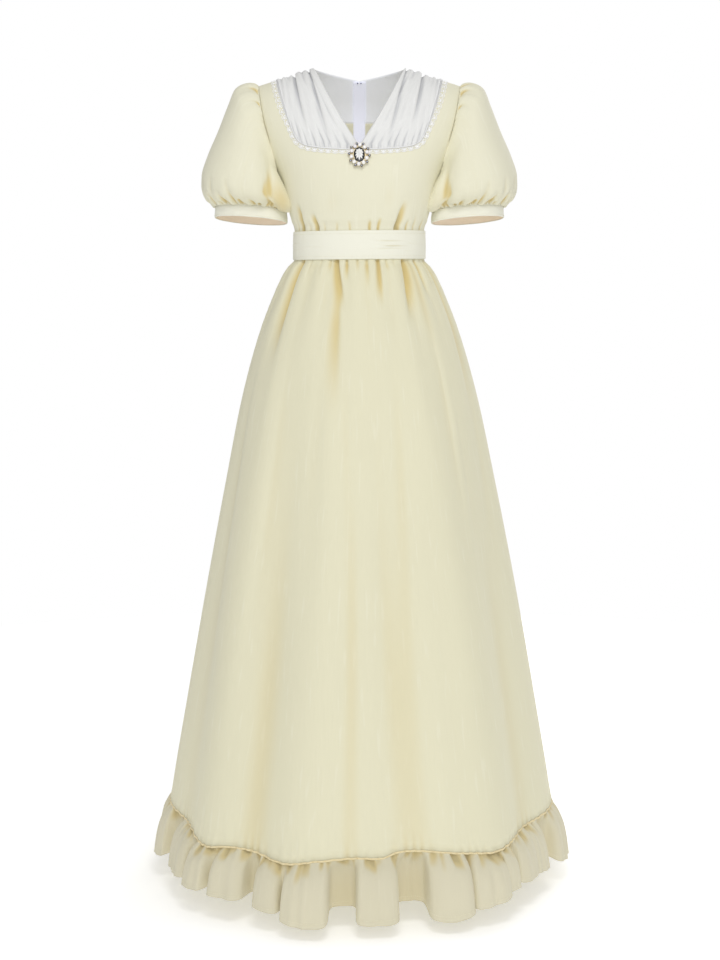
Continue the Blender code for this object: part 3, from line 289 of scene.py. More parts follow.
def crease_relief(creases: Sequence[Crease], across: Array, down: Array, wraps: bool = False) -> Array:
    """Adds up how far creases push the cloth in.

    Args:
        creases: The creases, in the units of across and down.
        across: Place of each point across the cloth.
        down: Place of each point along the creases.
        wraps: Whether across is an angle in degrees that goes all round.

    Returns:
        The relief at each point, negative in a trough.
    """
    total = np.zeros(np.broadcast(across, down).shape)
    for crease in creases:
        t = np.clip((down - crease.start) / crease.length, 0.0, 1.0)
        fade = 1.0 - smooth_step(0.15, 1.0, t)
        if crease.start > 0:
            fade = fade * smooth_step(-0.25, 0.25, (down - crease.start) / crease.length)
        gap = across - (crease.at + crease.drift * t)
        if wraps:
            gap = angle_gap(gap, 0.0)
        gap = gap / (crease.width * (1.0 + 0.9 * t))
        gap = gap * (1.0 + crease.skew * np.tanh(2.0 * gap))
        total -= crease.depth * np.exp(-(gap**2)) * fade
    return total


def blurred(values: Array, reach: tuple[int, int], closed: bool = False) -> Array:
    """The mean of a grid of values over a window of cells.

    Args:
        values: A grid of values.
        reach: Cells either side, down and across.
        closed: Whether the columns go all round.

    Returns:
        The smoothed grid.
    """
    for axis in (0, 1):
        pad = [(0, 0), (0, 0)]
        pad[axis] = (reach[axis] + 1, reach[axis])
        mode = "wrap" if closed and axis == 1 else "edge"
        total = np.moveaxis(np.cumsum(np.pad(values, pad, mode=mode), axis=axis), axis, 0)
        window = 2 * reach[axis] + 1
        values = np.moveaxis((total[window:] - total[:-window]) / window, 0, axis)
    return values


class Figure:
    """The general figure's surface, on which the bodice, yoke, lace and sash lie."""

    SLOPE = 0.307
    NECK_HALF = 0.081
    SHOULDER_HALF = 0.182
    RIDGE_SOFTNESS = 0.020
    NECK_ROUND = 0.110
    ARM_ROUND = 0.062
    YOKE_HALF = 0.150
    YOKE_FOOT = {Side.FRONT: -0.153, Side.BACK: -0.090}
    YOKE_POWER = 4.0
    CORNER = 0.50
    ROUND_SPAN = (0.09, 0.19)
    ARMHOLE_POWERS = (0.9, 1.6)
    SAMPLES = 401

    @classmethod
    def ridge(cls, x: Array) -> Array:
        """Height of the shoulder ridge at x."""
        return -cls.SLOPE * (np.sqrt(np.square(x) + cls.RIDGE_SOFTNESS**2) - cls.NECK_HALF)

    @classmethod
    def point(cls, angle: Array, z: Array, side: Side) -> Array:
        """Points of the figure at ring angles and heights, rounded over the shoulder."""
        x = ring_point(TORSO, angle, z, side)[..., 0]
        tight = smooth_step(*cls.ROUND_SPAN, np.abs(x))
        rounding = cls.NECK_ROUND + (cls.ARM_ROUND - cls.NECK_ROUND) * tight
        drop = np.clip((cls.ridge(x) - z) / rounding, 0.0, 1.0)
        return ring_point(TORSO, angle, z, side, np.sqrt(1.0 - (1.0 - drop) ** 2))

    @classmethod
    def angle(cls, x: Array, z: Array, side: Side) -> Array:
        """The ring angle of the figure's point at x and z."""
        power = section_value(TORSO, "power", z) / 2.0
        ratio = np.clip(np.abs(x) / section_value(TORSO, "half_width", z), 0.0, 1.0) ** power
        angle = np.arcsin(ratio)
        return angle if side is Side.FRONT else math.pi - angle

    @classmethod
    def at(cls, x: Array, z: Array, side: Side) -> Array:
        """The figure's points at x and z, with the sign of x kept."""
        points = cls.point(cls.angle(x, z, side), z, side)
        points[..., 0] = x
        return points

    @classmethod
    def along(cls, curve: Curve, shares: Array, side: Side) -> Array:
        """The (angle, z) pairs at shares of the length of a curve on the figure."""
        fine = np.linspace(0.0, 1.0, cls.SAMPLES)
        lengths = lengths_along(cls.point(*curve(fine), side))
        return np.stack(curve(np.interp(np.asarray(shares) * lengths[-1], lengths, fine)), axis=-1)

    @classmethod
    def yoke_seam(cls, side: Side) -> Curve:
        """The left half of the yoke seam, from the shoulder ridge to the centre line.

        The front follows its own line, and the back is a squared arch.
        """
        foot, power = cls.YOKE_FOOT[side], 2.0 / cls.YOKE_POWER
        top = float(cls.ridge(cls.YOKE_HALF))
        line = np.array([(cls.YOKE_HALF, top), *YOKE_LINE])
        lengths = lengths_along(line)

        def curve(t: Array) -> tuple[Array, Array]:
            """Ring angle and height at shares of the curve."""
            if side is Side.FRONT:
                x, z = (hermite(lengths / lengths[-1], line[:, k], t) for k in (0, 1))
                return cls.angle(x, z, side), z
            turn = np.asarray(t) * math.pi / 2
            x = cls.YOKE_HALF * np.clip(np.cos(turn), 0.0, 1.0) ** power
            z = top + (foot - top) * np.sin(turn) ** power
            return cls.angle(x, z, side), z

        return curve

    @classmethod
    def armhole(cls, side: Side) -> Curve:
        """The left armhole, from the shoulder point to the armpit."""
        top = float(cls.ridge(cls.SHOULDER_HALF))
        start = float(cls.angle(cls.SHOULDER_HALF, top, Side.FRONT))
        down, out = cls.ARMHOLE_POWERS

        def curve(t: Array) -> tuple[Array, Array]:
            """Ring angle and height at shares of the curve."""
            turn = np.asarray(t) * math.pi / 2
            z = top + (ARMPIT_Z - top) * np.sin(turn) ** down
            angle = start + (math.pi / 2 - start) * (1 - np.cos(turn)) ** out
            return (angle if side is Side.FRONT else math.pi - angle), z

        return curve

    @classmethod
    def level(cls, side: Side, z: float) -> Curve:
        """A level line from the centre line to the side seam."""
        return lambda t: (math.pi / 2 + side.value * (1 - np.asarray(t)) * math.pi / 2, np.full_like(t, z))


@dataclass
class Panel:
    """A piece of cloth as a grid of points on its outer face.

    Rows run down and columns anticlockwise from above. Missing points are NaN. Besides the painted
    shade of its own hollow, each point takes a further given share of painted shade in the fold colour.
    """

    points: Array
    relief: Array
    closed: bool = False
    painted_shade_tint: Array | None = None

    def __post_init__(self) -> None:
        """Starts with no extra painted shade where none is given."""
        if self.painted_shade_tint is None:
            self.painted_shade_tint = np.zeros(self.relief.shape)

    @classmethod
    def shaped(cls, points: Array, relief: Array, closed: bool = False) -> "Panel":
        """A panel from smooth points that are moved out by a relief."""
        return cls(points, np.zeros_like(relief), closed).raised(relief)

    def wide(self, values: Array) -> Array:
        """A grid with its first column repeated at the end where the cloth is a tube."""
        return np.concatenate([values, values[:, :1]], axis=1) if self.closed else values

    def normals(self) -> Array:
        """Outward unit normals at the points."""
        wide = self.wide(self.points)
        a, b, c, d = cell_corners(wide, 0)
        cell = np.nan_to_num(np.cross(c - a, d - b))
        total = np.zeros_like(wide)
        total[:-1, :-1] += cell
        total[1:, :-1] += cell
        total[1:, 1:] += cell
        total[:-1, 1:] += cell
        if self.closed:
            total[:, 0] += total[:, -1]
            total = total[:, :-1]
        return unit(total)

    def raised(self, lift: Array) -> "Panel":
        """The panel with each point moved out by lift, which is added to the relief."""
        lift = np.broadcast_to(lift, self.relief.shape)
        points = self.points + self.normals() * lift[..., None]
        return replace(self, points=points, relief=self.relief + lift)

    def flipped(self) -> "Panel":
        """The same panel with its columns in the opposite order."""
        return Panel(self.points[:, ::-1], self.relief[:, ::-1], self.closed, self.painted_shade_tint[:, ::-1])

    def mirrored(self) -> "Panel":
        """The other side's panel, its columns still running the same way round."""
        return replace(self.flipped(), points=self.points[:, ::-1] * MIRROR)

    def turned(self, axis: int, ends: Sequence[int], radius: float, steps: int = 4) -> "Panel":
        """The panel with edges rolled in towards its inner face.

        Args:
            axis: 0 for the first and last rows, 1 for the first and last columns.
            ends: 0 for the first edge and -1 for the last.
            radius: Radius of the roll.
            steps: Rows or columns added at each edge.

        Returns:
            The panel with the rolled edges.
        """
        points, relief = np.moveaxis(self.points, axis, 0), np.moveaxis(self.relief, axis, 0)
        painted_shade_tint = np.moveaxis(self.painted_shade_tint, axis, 0)
        normals = np.moveaxis(self.normals(), axis, 0)
        for end in ends:
            inner = 1 if end == 0 else -2
            edge, normal = points[end], normals[end]
            onward = unit(edge - points[inner])
            rolled = []
            for step in range(1, steps + 1):
                turn = math.radians(150.0) * step / steps
                rolled.append(edge + radius * ((math.cos(turn) - 1.0) * normal + math.sin(turn) * onward))
            rolled = np.array(rolled)
            rolled = rolled[::-1] if end == 0 else rolled
            grown = []
            added = [rolled, *(np.repeat(grid[end][None], steps, 0) for grid in (relief, painted_shade_tint, normals))]
            for whole, more in zip((points, relief, painted_shade_tint, normals), added):
                grown.append(np.concatenate([more, whole] if end == 0 else [whole, more]))
            points, relief, painted_shade_tint, normals = grown
        points, relief, painted_shade_tint = (np.moveaxis(values, 0, axis) for values in (points, relief, painted_shade_tint))
        return Panel(points, relief, self.closed, painted_shade_tint)

    def setback(self, axis: int, ends: Sequence[int]) -> "Panel":
        """The panel with edges drawn in by half a seam, so that neighbours stay apart."""
        points = self.points.copy()
        lines = np.moveaxis(points, axis, 0)
        for end in ends:
            lines[end] += unit(lines[1 if end == 0 else -2] - lines[end]) * SEAM / 2
        return replace(self, points=points)

    def grain(self) -> Array:
        """Lengths across and down the cloth, in metres, for the weave."""
        wide = self.wide(self.points)
        across = np.nanmean(np.linalg.norm(np.diff(wide, axis=1), axis=-1), axis=0)
        down = np.nanmean(np.linalg.norm(np.diff(wide, axis=0), axis=-1), axis=1)
        u = np.concatenate([[0.0], np.cumsum(across)])
        v = np.concatenate([[0.0], np.cumsum(down)])
        return np.stack(np.meshgrid(u, -v), axis=-1)

    def painted_shade_shares(self, reach: Sequence[tuple[int, int]], depth: float) -> Array:
        """The share of painted shade: how far each point lies below its surroundings, from 0 to 1 at the
        given depth, and at least the given share.
        """
        found = [blurred(self.relief, cells, self.closed) - self.relief for cells in reach]
        return np.clip(np.maximum(np.max(found, axis=0) / depth, self.painted_shade_tint), 0.0, 1.0)


class Shader:
    """A material's node network while it is being made."""

    def __init__(self, name: str, **sockets: object) -> None:
        """Starts a Principled material.

        Args:
            name: The material's name.
            sockets: Values of the shader's own sockets, with underscores for spaces.
        """
        self.material = bpy.data.materials.new(name)
        self.material.use_nodes = True
        self.tree = self.material.node_tree
        self.surface = self.tree.nodes["Principled BSDF"]
        for socket, value in sockets.items():
            self.surface.inputs[socket.replace("_", " ")].default_value = value

    def add(self, kind: str, settings: dict[str, object], inputs: dict[object, object]) -> bpy.types.Node:
        """Adds a node and feeds its inputs with values or other nodes' outputs."""
        node = self.tree.nodes.new("ShaderNode" + kind)
        for name, value in settings.items():
            setattr(node, name, value)
        for key, value in inputs.items():
            if isinstance(value, Socket):
                self.tree.links.new(value, node.inputs[key])
            else:
                node.inputs[key].default_value = value
        return node

    def cloth(self, across: float, down: float) -> Socket:
        """The place on the cloth, counted in repeats of a size across and a size down it."""
        place = self.add("UVMap", {"uv_map": GRAIN}, {}).outputs[0]
        return self.add("Mapping", {}, {0: place, 3: (1 / across, 1 / down, 1.0)}).outputs[0]

    def space(self) -> Socket:
        """The place in the object's own space."""
        return self.add("TexCoord", {}, {}).outputs["Object"]

    def noise(self, place: Socket, scale: float = 1.0, detail: float = 2.0) -> Socket:
        """Soft noise from 0 to 1."""
        return self.add("TexNoise", {}, {"Vector": place, "Scale": scale, "Detail": detail}).outputs[0]

    def bands(self, place: Socket, direction: str) -> Socket:
        """Rounded bands, one for each repeat of the place, across X or Y."""
        settings = {"wave_type": "BANDS", "bands_direction": direction}
        return self.add("TexWave", settings, {"Vector": place, "Scale": math.pi / 10}).outputs[1]

    def window(self, value: Socket, low: float, high: float, most: float = 1.0) -> Socket:
        """Stretches the range from low to high to 0 and most."""
        settings = {"interpolation_type": "SMOOTHSTEP"}
        return self.add("MapRange", settings, {0: value, 1: low, 2: high, 3: 0.0, 4: most}).outputs[0]

    def mix(self, share: object, first: object, second: object) -> Socket:
        """A colour between two colours."""
        colours = [(*c, 1.0) if isinstance(c, tuple) else c for c in (first, second)]
        return self.add("Mix", {"data_type": "RGBA"}, {0: share, 6: colours[0], 7: colours[1]}).outputs[2]

    def heights(self, layers: Sequence[tuple[Socket, float]]) -> None:
        """Sets the bump from layers of height, each with its size in millimetres."""
        total = 0.0
        for layer, size in layers:
            total = self.add("Math", {"operation": "MULTIPLY_ADD"}, {0: layer, 1: size, 2: total}).outputs[0]
        bump = self.add("Bump", {}, {"Distance": 0.001, "Height": total, "Strength": 1.0})
        self.tree.links.new(bump.outputs[0], self.surface.inputs["Normal"])

    def colour(self, source: Socket) -> None:
        """Feeds the base colour."""
        self.tree.links.new(source, self.surface.inputs["Base Color"])

    def roughness(self, source: Socket, low: float, high: float) -> None:
        """Varies the roughness from low to high."""
        spread = self.add("MapRange", {}, {0: source, 3: low, 4: high}).outputs[0]
        self.tree.links.new(spread, self.surface.inputs["Roughness"])


def tone(paint: Paint) -> Colour:
    """A paint's red, green and blue, 0 to 255, as the linear values of a shader."""
    return tuple(((c / 255 + 0.055) / 1.055) ** 2.4 if c > 10 else c / 3294.6 for c in paint)


def dimmed(colour: Colour, share: float) -> Colour:
    """A colour darkened to a share of its values."""
    return tuple(c * share for c in colour)


@dataclass(frozen=True)
class Weave:
    """A woven finish: its colours, its thread, and the slubs and crinkles in it.

    The fold colour is painted shade in the folds, and the emission is painted light, no lamp, in the light
    colour.
    """

    name: str
    light: Paint
    fold: Paint
    slub: Paint
    thread: float = 0.0007
    slub_gap: float = 0.0060
    slub_length: float = 0.075
    slub_share: float = 0.28
    crinkle: float = 0.35
    crinkle_size: float = 0.020
    crinkle_stretch: float = 2.5
    sheen: float = 0.15
    painted_glow: float = 0.06

    def material(self) -> Material:
        """Makes the finish as a node material that follows the grain of the cloth."""
        light, fold, slub = (tone(paint) for paint in (self.light, self.fold, self.slub))
        # The emission, in the cloth's own light colour, is painted light that lifts shaded crevices.
        shader = Shader(self.name, Sheen_Weight=self.sheen, Sheen_Roughness=0.5, Specular_IOR_Level=0.25,
                        Emission_Color=(*light, 1.0), Emission_Strength=self.painted_glow)
        # This attribute holds each point's share of painted shade.
        hollow = shader.add("Attribute", {"attribute_name": PAINTED_SHADE_ATTRIBUTE}, {}).outputs["Fac"]
        lines = shader.noise(shader.cloth(self.slub_gap, self.slub_length), detail=1.0)
        fine = shader.noise(shader.cloth(self.slub_gap / 3, self.slub_length / 1.5), detail=1.0)
        blotch = shader.noise(shader.cloth(0.16, 0.30))
        warp = shader.bands(shader.cloth(self.thread, self.thread), "X")
        weft = shader.bands(shader.cloth(self.thread, self.thread), "Y")
        crinkled = shader.noise(shader.cloth(self.crinkle_size, self.crinkle_size * self.crinkle_stretch))
        base = light
        # Blotch, fine and slub layers are the cloth's own tone; the last two layers are painted shade, the
        # fold colour and a darker one.
        for layer, low, high, most, over in (
                (blotch, 0.3, 0.7, 0.35, dimmed(light, 0.965)),
                (fine, 0.52, 0.75, self.slub_share * 0.6, dimmed(light, 0.93)),
                (lines, 0.60, 0.74, self.slub_share, slub),
                (hollow, 0.0, 0.65, 1.0, fold),
                (hollow, 0.6, 1.0, 0.7, dimmed(fold, 0.72))):
            base = shader.mix(shader.window(layer, low, high, most), base, over)
        shader.colour(base)
        shader.roughness(fine, 0.72, 0.92)
        shader.heights([(warp, 0.035), (weft, 0.035), (lines, 0.16), (fine, 0.10), (crinkled, self.crinkle)])
        return shader.material


@dataclass(frozen=True)
class Plain:
    """A smooth hard finish: metal, pearl, stone or enamel, with fine marks in it."""

    name: str
    light: Paint
    second: Paint
    roughness: Span
    metallic: float = 0.0
    coat: float = 0.0
    grain: float = 900.0
    marks: float = 0.02

    def material(self) -> Material:
        """Makes the finish as a node material in the object's own space."""
        shader = Shader(self.name, Metallic=self.metallic, Coat_Weight=self.coat, Coat_Roughness=0.08)
        clouds = shader.noise(shader.space(), self.grain / 4)
        marks = shader.noise(shader.space(), self.grain, 4.0)
        shader.colour(shader.mix(shader.window(clouds, 0.35, 0.65), tone(self.light), tone(self.second)))
        shader.roughness(marks, *self.roughness)
        shader.heights([(marks, self.marks)])
        return shader.material


class Finishes:
    """Every finish of the gown, made once and shared by its pieces."""

    def __init__(self) -> None:
        """Makes the materials."""
        self.cream = Weave("cream_lawn", (225, 221, 193), (212, 193, 134), (234, 232, 212)).material()
        # A lighter copy of the cream lawn: painted light on the bodice and sleeves, higher up.
        self.upper = Weave("cream_lawn_painted_lighter", (227, 224, 201), (214, 196, 140), (236, 234, 216)).material()
        # A darker copy of the cream lawn: painted shade on the flounce at the foot.
        self.flounce = Weave(
            "cream_lawn_painted_darker", (214, 208, 183), (206, 190, 142), (225, 221, 202),
            slub_share=0.2, crinkle=0.45).material()
        self.welt = Weave(
            "welt_lawn", (230, 216, 176), (208, 184, 126), (236, 226, 196),
            slub_share=0.2, crinkle=0.5, crinkle_size=0.006, crinkle_stretch=1.0).material()
        self.pale = Weave(
            "pale_cotton", (234, 233, 218), (214, 206, 172), (240, 239, 228),
            slub_gap=0.0045, slub_share=0.2, crinkle=0.25).material()
        # A warmer, brighter copy of the pale cotton with stronger emission: painted light on the shaded
        # inside of the bands.
        self.inside = Weave(
            "cuff_inside_painted_light", (246, 228, 206), (228, 200, 164), (250, 238, 222), slub_share=0.2,
            painted_glow=0.14).material()
        self.chiffon = Weave(
            "white_crinkle_chiffon", (227, 227, 225), (190, 191, 193), (238, 238, 238),
            slub_gap=0.0030, slub_length=0.022, slub_share=0.4, crinkle=0.45, crinkle_size=0.007,
            crinkle_stretch=4.0, sheen=0.25).material()
        # A brighter, bluer copy of the chiffon with stronger emission: painted light on the shaded inner face
        # of the back yoke.
        self.chiffon_inside_painted_light = Weave(
            "white_chiffon_painted_light", (242, 244, 252), (222, 224, 232), (248, 249, 254),
            slub_gap=0.0030, slub_length=0.022, slub_share=0.4, crinkle=0.3, crinkle_size=0.007,
            crinkle_stretch=4.0, sheen=0.25, painted_glow=0.14).material()
        self.lace = Weave(
            "lace_thread", (248, 248, 249), (222, 222, 218), (250, 250, 252), sheen=0.3).material()
        # The tape's lavender is its own colour; its stronger emission is painted light in the shade behind
        # the neck opening.
        self.tape = Weave(
            "zip_tape_twill", (236, 238, 255), (224, 226, 252), (248, 248, 255),
            slub_gap=0.0012, slub_length=0.0030, slub_share=0.5, crinkle=0.05, painted_glow=0.24).material()
        self.coil = Plain("zip_coil_nylon", (226, 226, 246), (212, 212, 236), (0.30, 0.45)).material()
        self.thread = Plain("sewing_thread", (240, 237, 216), (226, 220, 190), (0.55, 0.8)).material()
        self.enamel = Plain(
            "white_enamel_metal", (228, 228, 232), (214, 214, 220), (0.25, 0.4), 0.2, 0.5).material()
        self.steel = Plain("dark_stop_metal", (70, 76, 96), (52, 56, 72), (0.3, 0.5), 0.8).material()
        self.gold = Plain(
            "gold_plating", (238, 228, 196), (226, 208, 164), (0.24, 0.40), 0.85, 0.1, marks=0.05).material()
        self.pearl = Plain(
            "pearl_nacre", (246, 244, 240), (236, 232, 236), (0.16, 0.26), 0.0, 0.7, 300.0, 0.0).material()
        self.stone = Plain(
            "navy_stone", (11, 32, 72), (11, 18, 46), (0.05, 0.10), 0.0, 1.0, 400.0, 0.0).material()
        self.black = Plain("black_oval", (22, 24, 26), (34, 36, 38), (0.18, 0.30), 0.0, 0.5).material()
        self.relief = Plain(
            "white_relief", (244, 244, 242), (234, 233, 229), (0.35, 0.5), 0.0, 0.3).material()


def in_scene(name: str, data: bpy.types.ID) -> Item:
    """Puts a mesh, a lamp or a camera into the scene."""
    item = bpy.data.objects.new(name, data)
    bpy.context.scene.collection.objects.link(item)
    return item


def grid_object(name: str, panel: Panel, hollow: Array, material: Material) -> Item:
    """Makes a panel's mesh, with its grain and its share of painted shade.

    Args:
        name: The piece's name.
        panel: The panel.
        hollow: How hollow each point is, from 0 to 1, as its share of painted shade.
        material: The finish.

    Returns:
        The new object, as an open surface.
    """
    rows, columns = panel.points.shape[:2]
    there = np.isfinite(panel.points[..., 0]).reshape(-1)
    index = panel.wide(np.arange(rows * columns).reshape(rows, columns))
    quads = cell_corners(index).reshape(-1, 4)
    kept = there[quads].all(axis=1)
    number = np.cumsum(there) - 1
    mesh = bpy.data.meshes.new(name)
    mesh.from_pydata(panel.points.reshape(-1, 3)[there].tolist(), [], number[quads[kept]].tolist())
    places = cell_corners(panel.grain(), -2)
    layer = mesh.uv_layers.new(name=GRAIN)
    layer.data.foreach_set("uv", places.reshape(-1, 4, 2)[kept].reshape(-1).astype(np.float32))
    shade = mesh.attributes.new(PAINTED_SHADE_ATTRIBUTE, "FLOAT", "POINT")
    shade.data.foreach_set("value", hollow.reshape(-1)[there].astype(np.float32))
    mesh.materials.append(material)
    mesh.shade_smooth()
    return in_scene(name, mesh)


def thicken(item: Item, thickness: float) -> bpy.types.Modifier:
    """Gives an open surface its thickness, inwards from its outer face."""
    shell = item.modifiers.new("cloth", "SOLIDIFY")
    shell.thickness = thickness
    shell.offset = -1.0
    return shell


def sew_in(item: Item, replaces: Sequence[str] = ()) -> None:
    """Makes a finished piece part of the gown.

    Args:
        item: The piece, in place.
        replaces: The solids that it stands for.
    """
    if replaces:
        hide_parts(*replaces)
    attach(item, GOWN)
    LOG.info("%s: %d faces", item.name, len(item.data.polygons))


@dataclass
class Cloth:
    """How a panel is made up: its thickness, finish, the painted shade of its folds and its cut."""

    node: str
    thickness: float
    material: Material
    slot: str
    cut: Span
    held: str
    rests_on: tuple[str, ...]
    area: float | None = None
    shade: float = 0.006
    reach: tuple[tuple[int, int], ...] = ((3, 3), (8, 8))
    inner_face_painted_light: Material | None = None

    def make(self, panel: Panel) -> None:
        """Makes the shell of a panel and sews it in."""
        item = grid_object(f"{self.node}_cloth", panel, panel.painted_shade_shares(self.reach, self.shade), self.material)
        shell = thicken(item, self.thickness)
        # The inner face takes a brighter copy of the finish: painted light on the shaded inside.
        if self.inner_face_painted_light:
            item.data.materials.append(self.inner_face_painted_light)
            shell.material_offset = 1
        sew_in(item, (self.node,))


class Bits:
    """Many small shapes gathered into one mesh."""

    def __init__(self) -> None:
        """Starts with nothing."""
        self.points: list[Array] = []
        self.faces: list[Array] = []
        self.count = 0

    def add(self, points: Array, faces: Array) -> None:
        """Adds a shape's points and its faces of four corners."""
        self.points.append(points)
        self.faces.append(faces + self.count)
        self.count += len(points)

    def loft(self, rings: Array, caps: bool = True) -> None:
        """Adds a tube through rings of points, with its ends closed by fans of folded quads."""
        rows, columns = rings.shape[:2]
        index = np.arange(rows * columns).reshape(rows, columns)
        index = np.concatenate([index, index[:, :1]], axis=1)
        faces = cell_corners(index).reshape(-1, 4)
        points = rings.reshape(-1, 3)
        if caps:
            points = np.concatenate([points, [rings[0].mean(axis=0), rings[-1].mean(axis=0)]])
            base, last = rows * columns, (rows - 1) * columns
            ring = np.arange(columns)
            after = (ring + 1) % columns
            first = np.stack([np.full(columns, base), ring, after, after], axis=-1)
            final = np.stack([np.full(columns, base + 1), last + after, last + ring, last + ring], axis=-1)
            faces = np.concatenate([faces, first, final])
        self.add(points, faces)

    def tube(self, line: Array, up: Array, radius: float, sides: int = 4, closed: bool = False) -> None:
        """Adds a thread along a line of points, with normals to keep it from twisting."""
        if closed:
            onward = np.roll(line, -1, axis=0) - np.roll(line, 1, axis=0)
        else:
            onward = np.gradient(line, axis=0)
        across = unit(np.cross(unit(onward), up))
        out = unit(np.cross(across, unit(onward)))
        turns = full_turn(sides) + math.pi / 4
        rings = line[:, None] + radius * (
            np.cos(turns)[None, :, None] * out[:, None] + np.sin(turns)[None, :, None] * across[:, None])
        if closed:
            rings = np.concatenate([rings, rings[:1]])
        self.loft(rings, caps=not closed)

    def bead(self, centre: Array, radii: Array, axes: Array, rings: int = 8, sides: int = 14) -> None:
        """Adds a round bead with its own radii along three axes, given as rows."""
        rise = np.linspace(-math.pi / 2, math.pi / 2, rings + 1)[1:-1, None]
        turn = full_turn(sides)
        ball = [np.cos(rise) * np.cos(turn), np.cos(rise) * np.sin(turn), np.sin(rise)]
        flat = np.stack(np.broadcast_arrays(*ball), axis=-1)
        body = (flat * radii) @ axes + centre
        ends = (np.array([[0, 0, -1.0], [0, 0, 1.0]]) * radii) @ axes + centre
        rows = np.concatenate([[np.repeat(ends[:1], sides, 0)], body, [np.repeat(ends[1:], sides, 0)]])
        self.loft(rows[::-1], caps=False)

    def object(self, name: str, material: Material, smooth: bool = True) -> Item:
        """Makes the mesh, with doubled points merged and empty faces left out."""
        points = np.concatenate(self.points)
        faces = np.concatenate(self.faces)
        keys = np.round(points, 7)
        _, first, number = np.unique(keys, axis=0, return_index=True, return_inverse=True)
        number = number.reshape(-1)
        rows = []
        for face in number[faces].tolist():
            corners = [c for k, c in enumerate(face) if c != face[k - 1]]
            if len(set(corners)) > 2:
                rows.append(corners)
        mesh = bpy.data.meshes.new(name)
        mesh.from_pydata(points[first].tolist(), [], rows)
        mesh.materials.append(material)
        if smooth:
            mesh.shade_smooth()
        return in_scene(name, mesh)


@dataclass(frozen=True)
class Stitches:
    """A row of small straight stitches."""

    length: float = 0.0024
    gap: float = 0.0012
    radius: float = 0.00025
    sink: float = 0.00005

    def row(self, bits: Bits, line: Array, normals: Array) -> None:
        """Sews a row of stitches along a line on the cloth.

        Args:
            bits: The mesh that takes them.
            line: Points on the cloth.
            normals: The cloth's normals there.
        """
        lengths = lengths_along(line)
        lift = np.array([-1.0, 0.6, 0.6, -1.0])[:, None] * self.radius - self.sink
        for start in np.arange(self.gap, lengths[-1] - self.length, self.length + self.gap):
            places = start + self.length * np.array([0.0, 0.18, 0.82, 1.0])
            up = unit(read_along(normals, lengths, places))
            bits.tube(read_along(line, lengths, places) + up * lift, up, self.radius)


def coons(top: Array, foot: Array, first: Array, last: Array) -> Array:
    """Fills a four-sided patch from its edges; rows run from top to foot.

    Args:
        top: Pairs along the top edge.
        foot: Pairs along the foot.
        first: Pairs down the first column, whose heights space the rows.
        last: Pairs down the last column.

    Returns:
        A grid of pairs.
    """
    s = np.linspace(0.0, 1.0, len(top))[None, :, None]
    t = ((first[:, 1] - first[0, 1]) / (first[-1, 1] - first[0, 1]))[:, None, None]
    corners = (1 - s) * (1 - t) * top[0] + s * (1 - t) * top[-1] + (1 - s) * t * foot[0] + s * t * foot[-1]
    return (1 - t) * top[None] + t * foot[None] + (1 - s) * first[:, None] + s * last[:, None] - corners


BODICE_CREASES = {
    Side.FRONT: rows_of(
        Crease,
        (-67.0, 1.5, 0.0, 0.04, 0.0018, 1.8), (-56.0, 0.5, 0.0, 0.056, 0.0056, 2.2, 0.6),
        (-46.0, -1.0, 0.0, 0.02, 0.0014, 1.3), (-37.0, -2.0, 0.0, 0.034, 0.0046, 1.8, 0.5),
        (-29.5, 0.0, 0.0, 0.018, 0.0013, 1.2), (-18.0, 1.0, 0.0, 0.018, 0.0012, 1.2),
        (-7.0, -0.5, 0.0, 0.022, 0.0014, 1.2), (7.7, 0.0, 0.0, 0.022, 0.003, 1.3),
        (14.8, 1.0, 0.0, 0.026, 0.003, 1.3), (31.2, 5.0, 0.0, 0.062, 0.0058, 2.0, -0.6),
        (43.4, 1.0, 0.0, 0.024, 0.003, 1.4), (53.0, -1.0, 0.0, 0.034, 0.0016, 1.5),
        (66.0, 2.0, 0.0, 0.03, 0.0018, 1.6), (-20.0, 6.0, 0.03, 0.085, 0.0014, 7.0),
        (21.0, -5.0, 0.04, 0.08, 0.0014, 7.0), (-78.0, 9.0, 0.05, 0.06, 0.0018, 4.0),
        (78.0, -9.0, 0.045, 0.065, 0.0018, 4.0),
    ),
    Side.BACK: rows_of(
        Crease,
        (103.0, 2.0, 0.0, 0.04, 0.002, 1.8), (113.0, -2.0, 0.0, 0.056, 0.0044, 2.0, 0.4),
        (124.0, 1.0, 0.0, 0.03, 0.0016, 1.5), (134.0, -2.0, 0.0, 0.052, 0.0044, 1.9, -0.4),
        (145.0, 1.0, 0.0, 0.034, 0.0018, 1.5), (155.0, -1.0, 0.0, 0.044, 0.0036, 1.7),
        (165.0, 0.5, 0.0, 0.028, 0.0014, 1.4), (130.0, 5.0, 0.04, 0.09, 0.0016, 7.0),
    ),
}


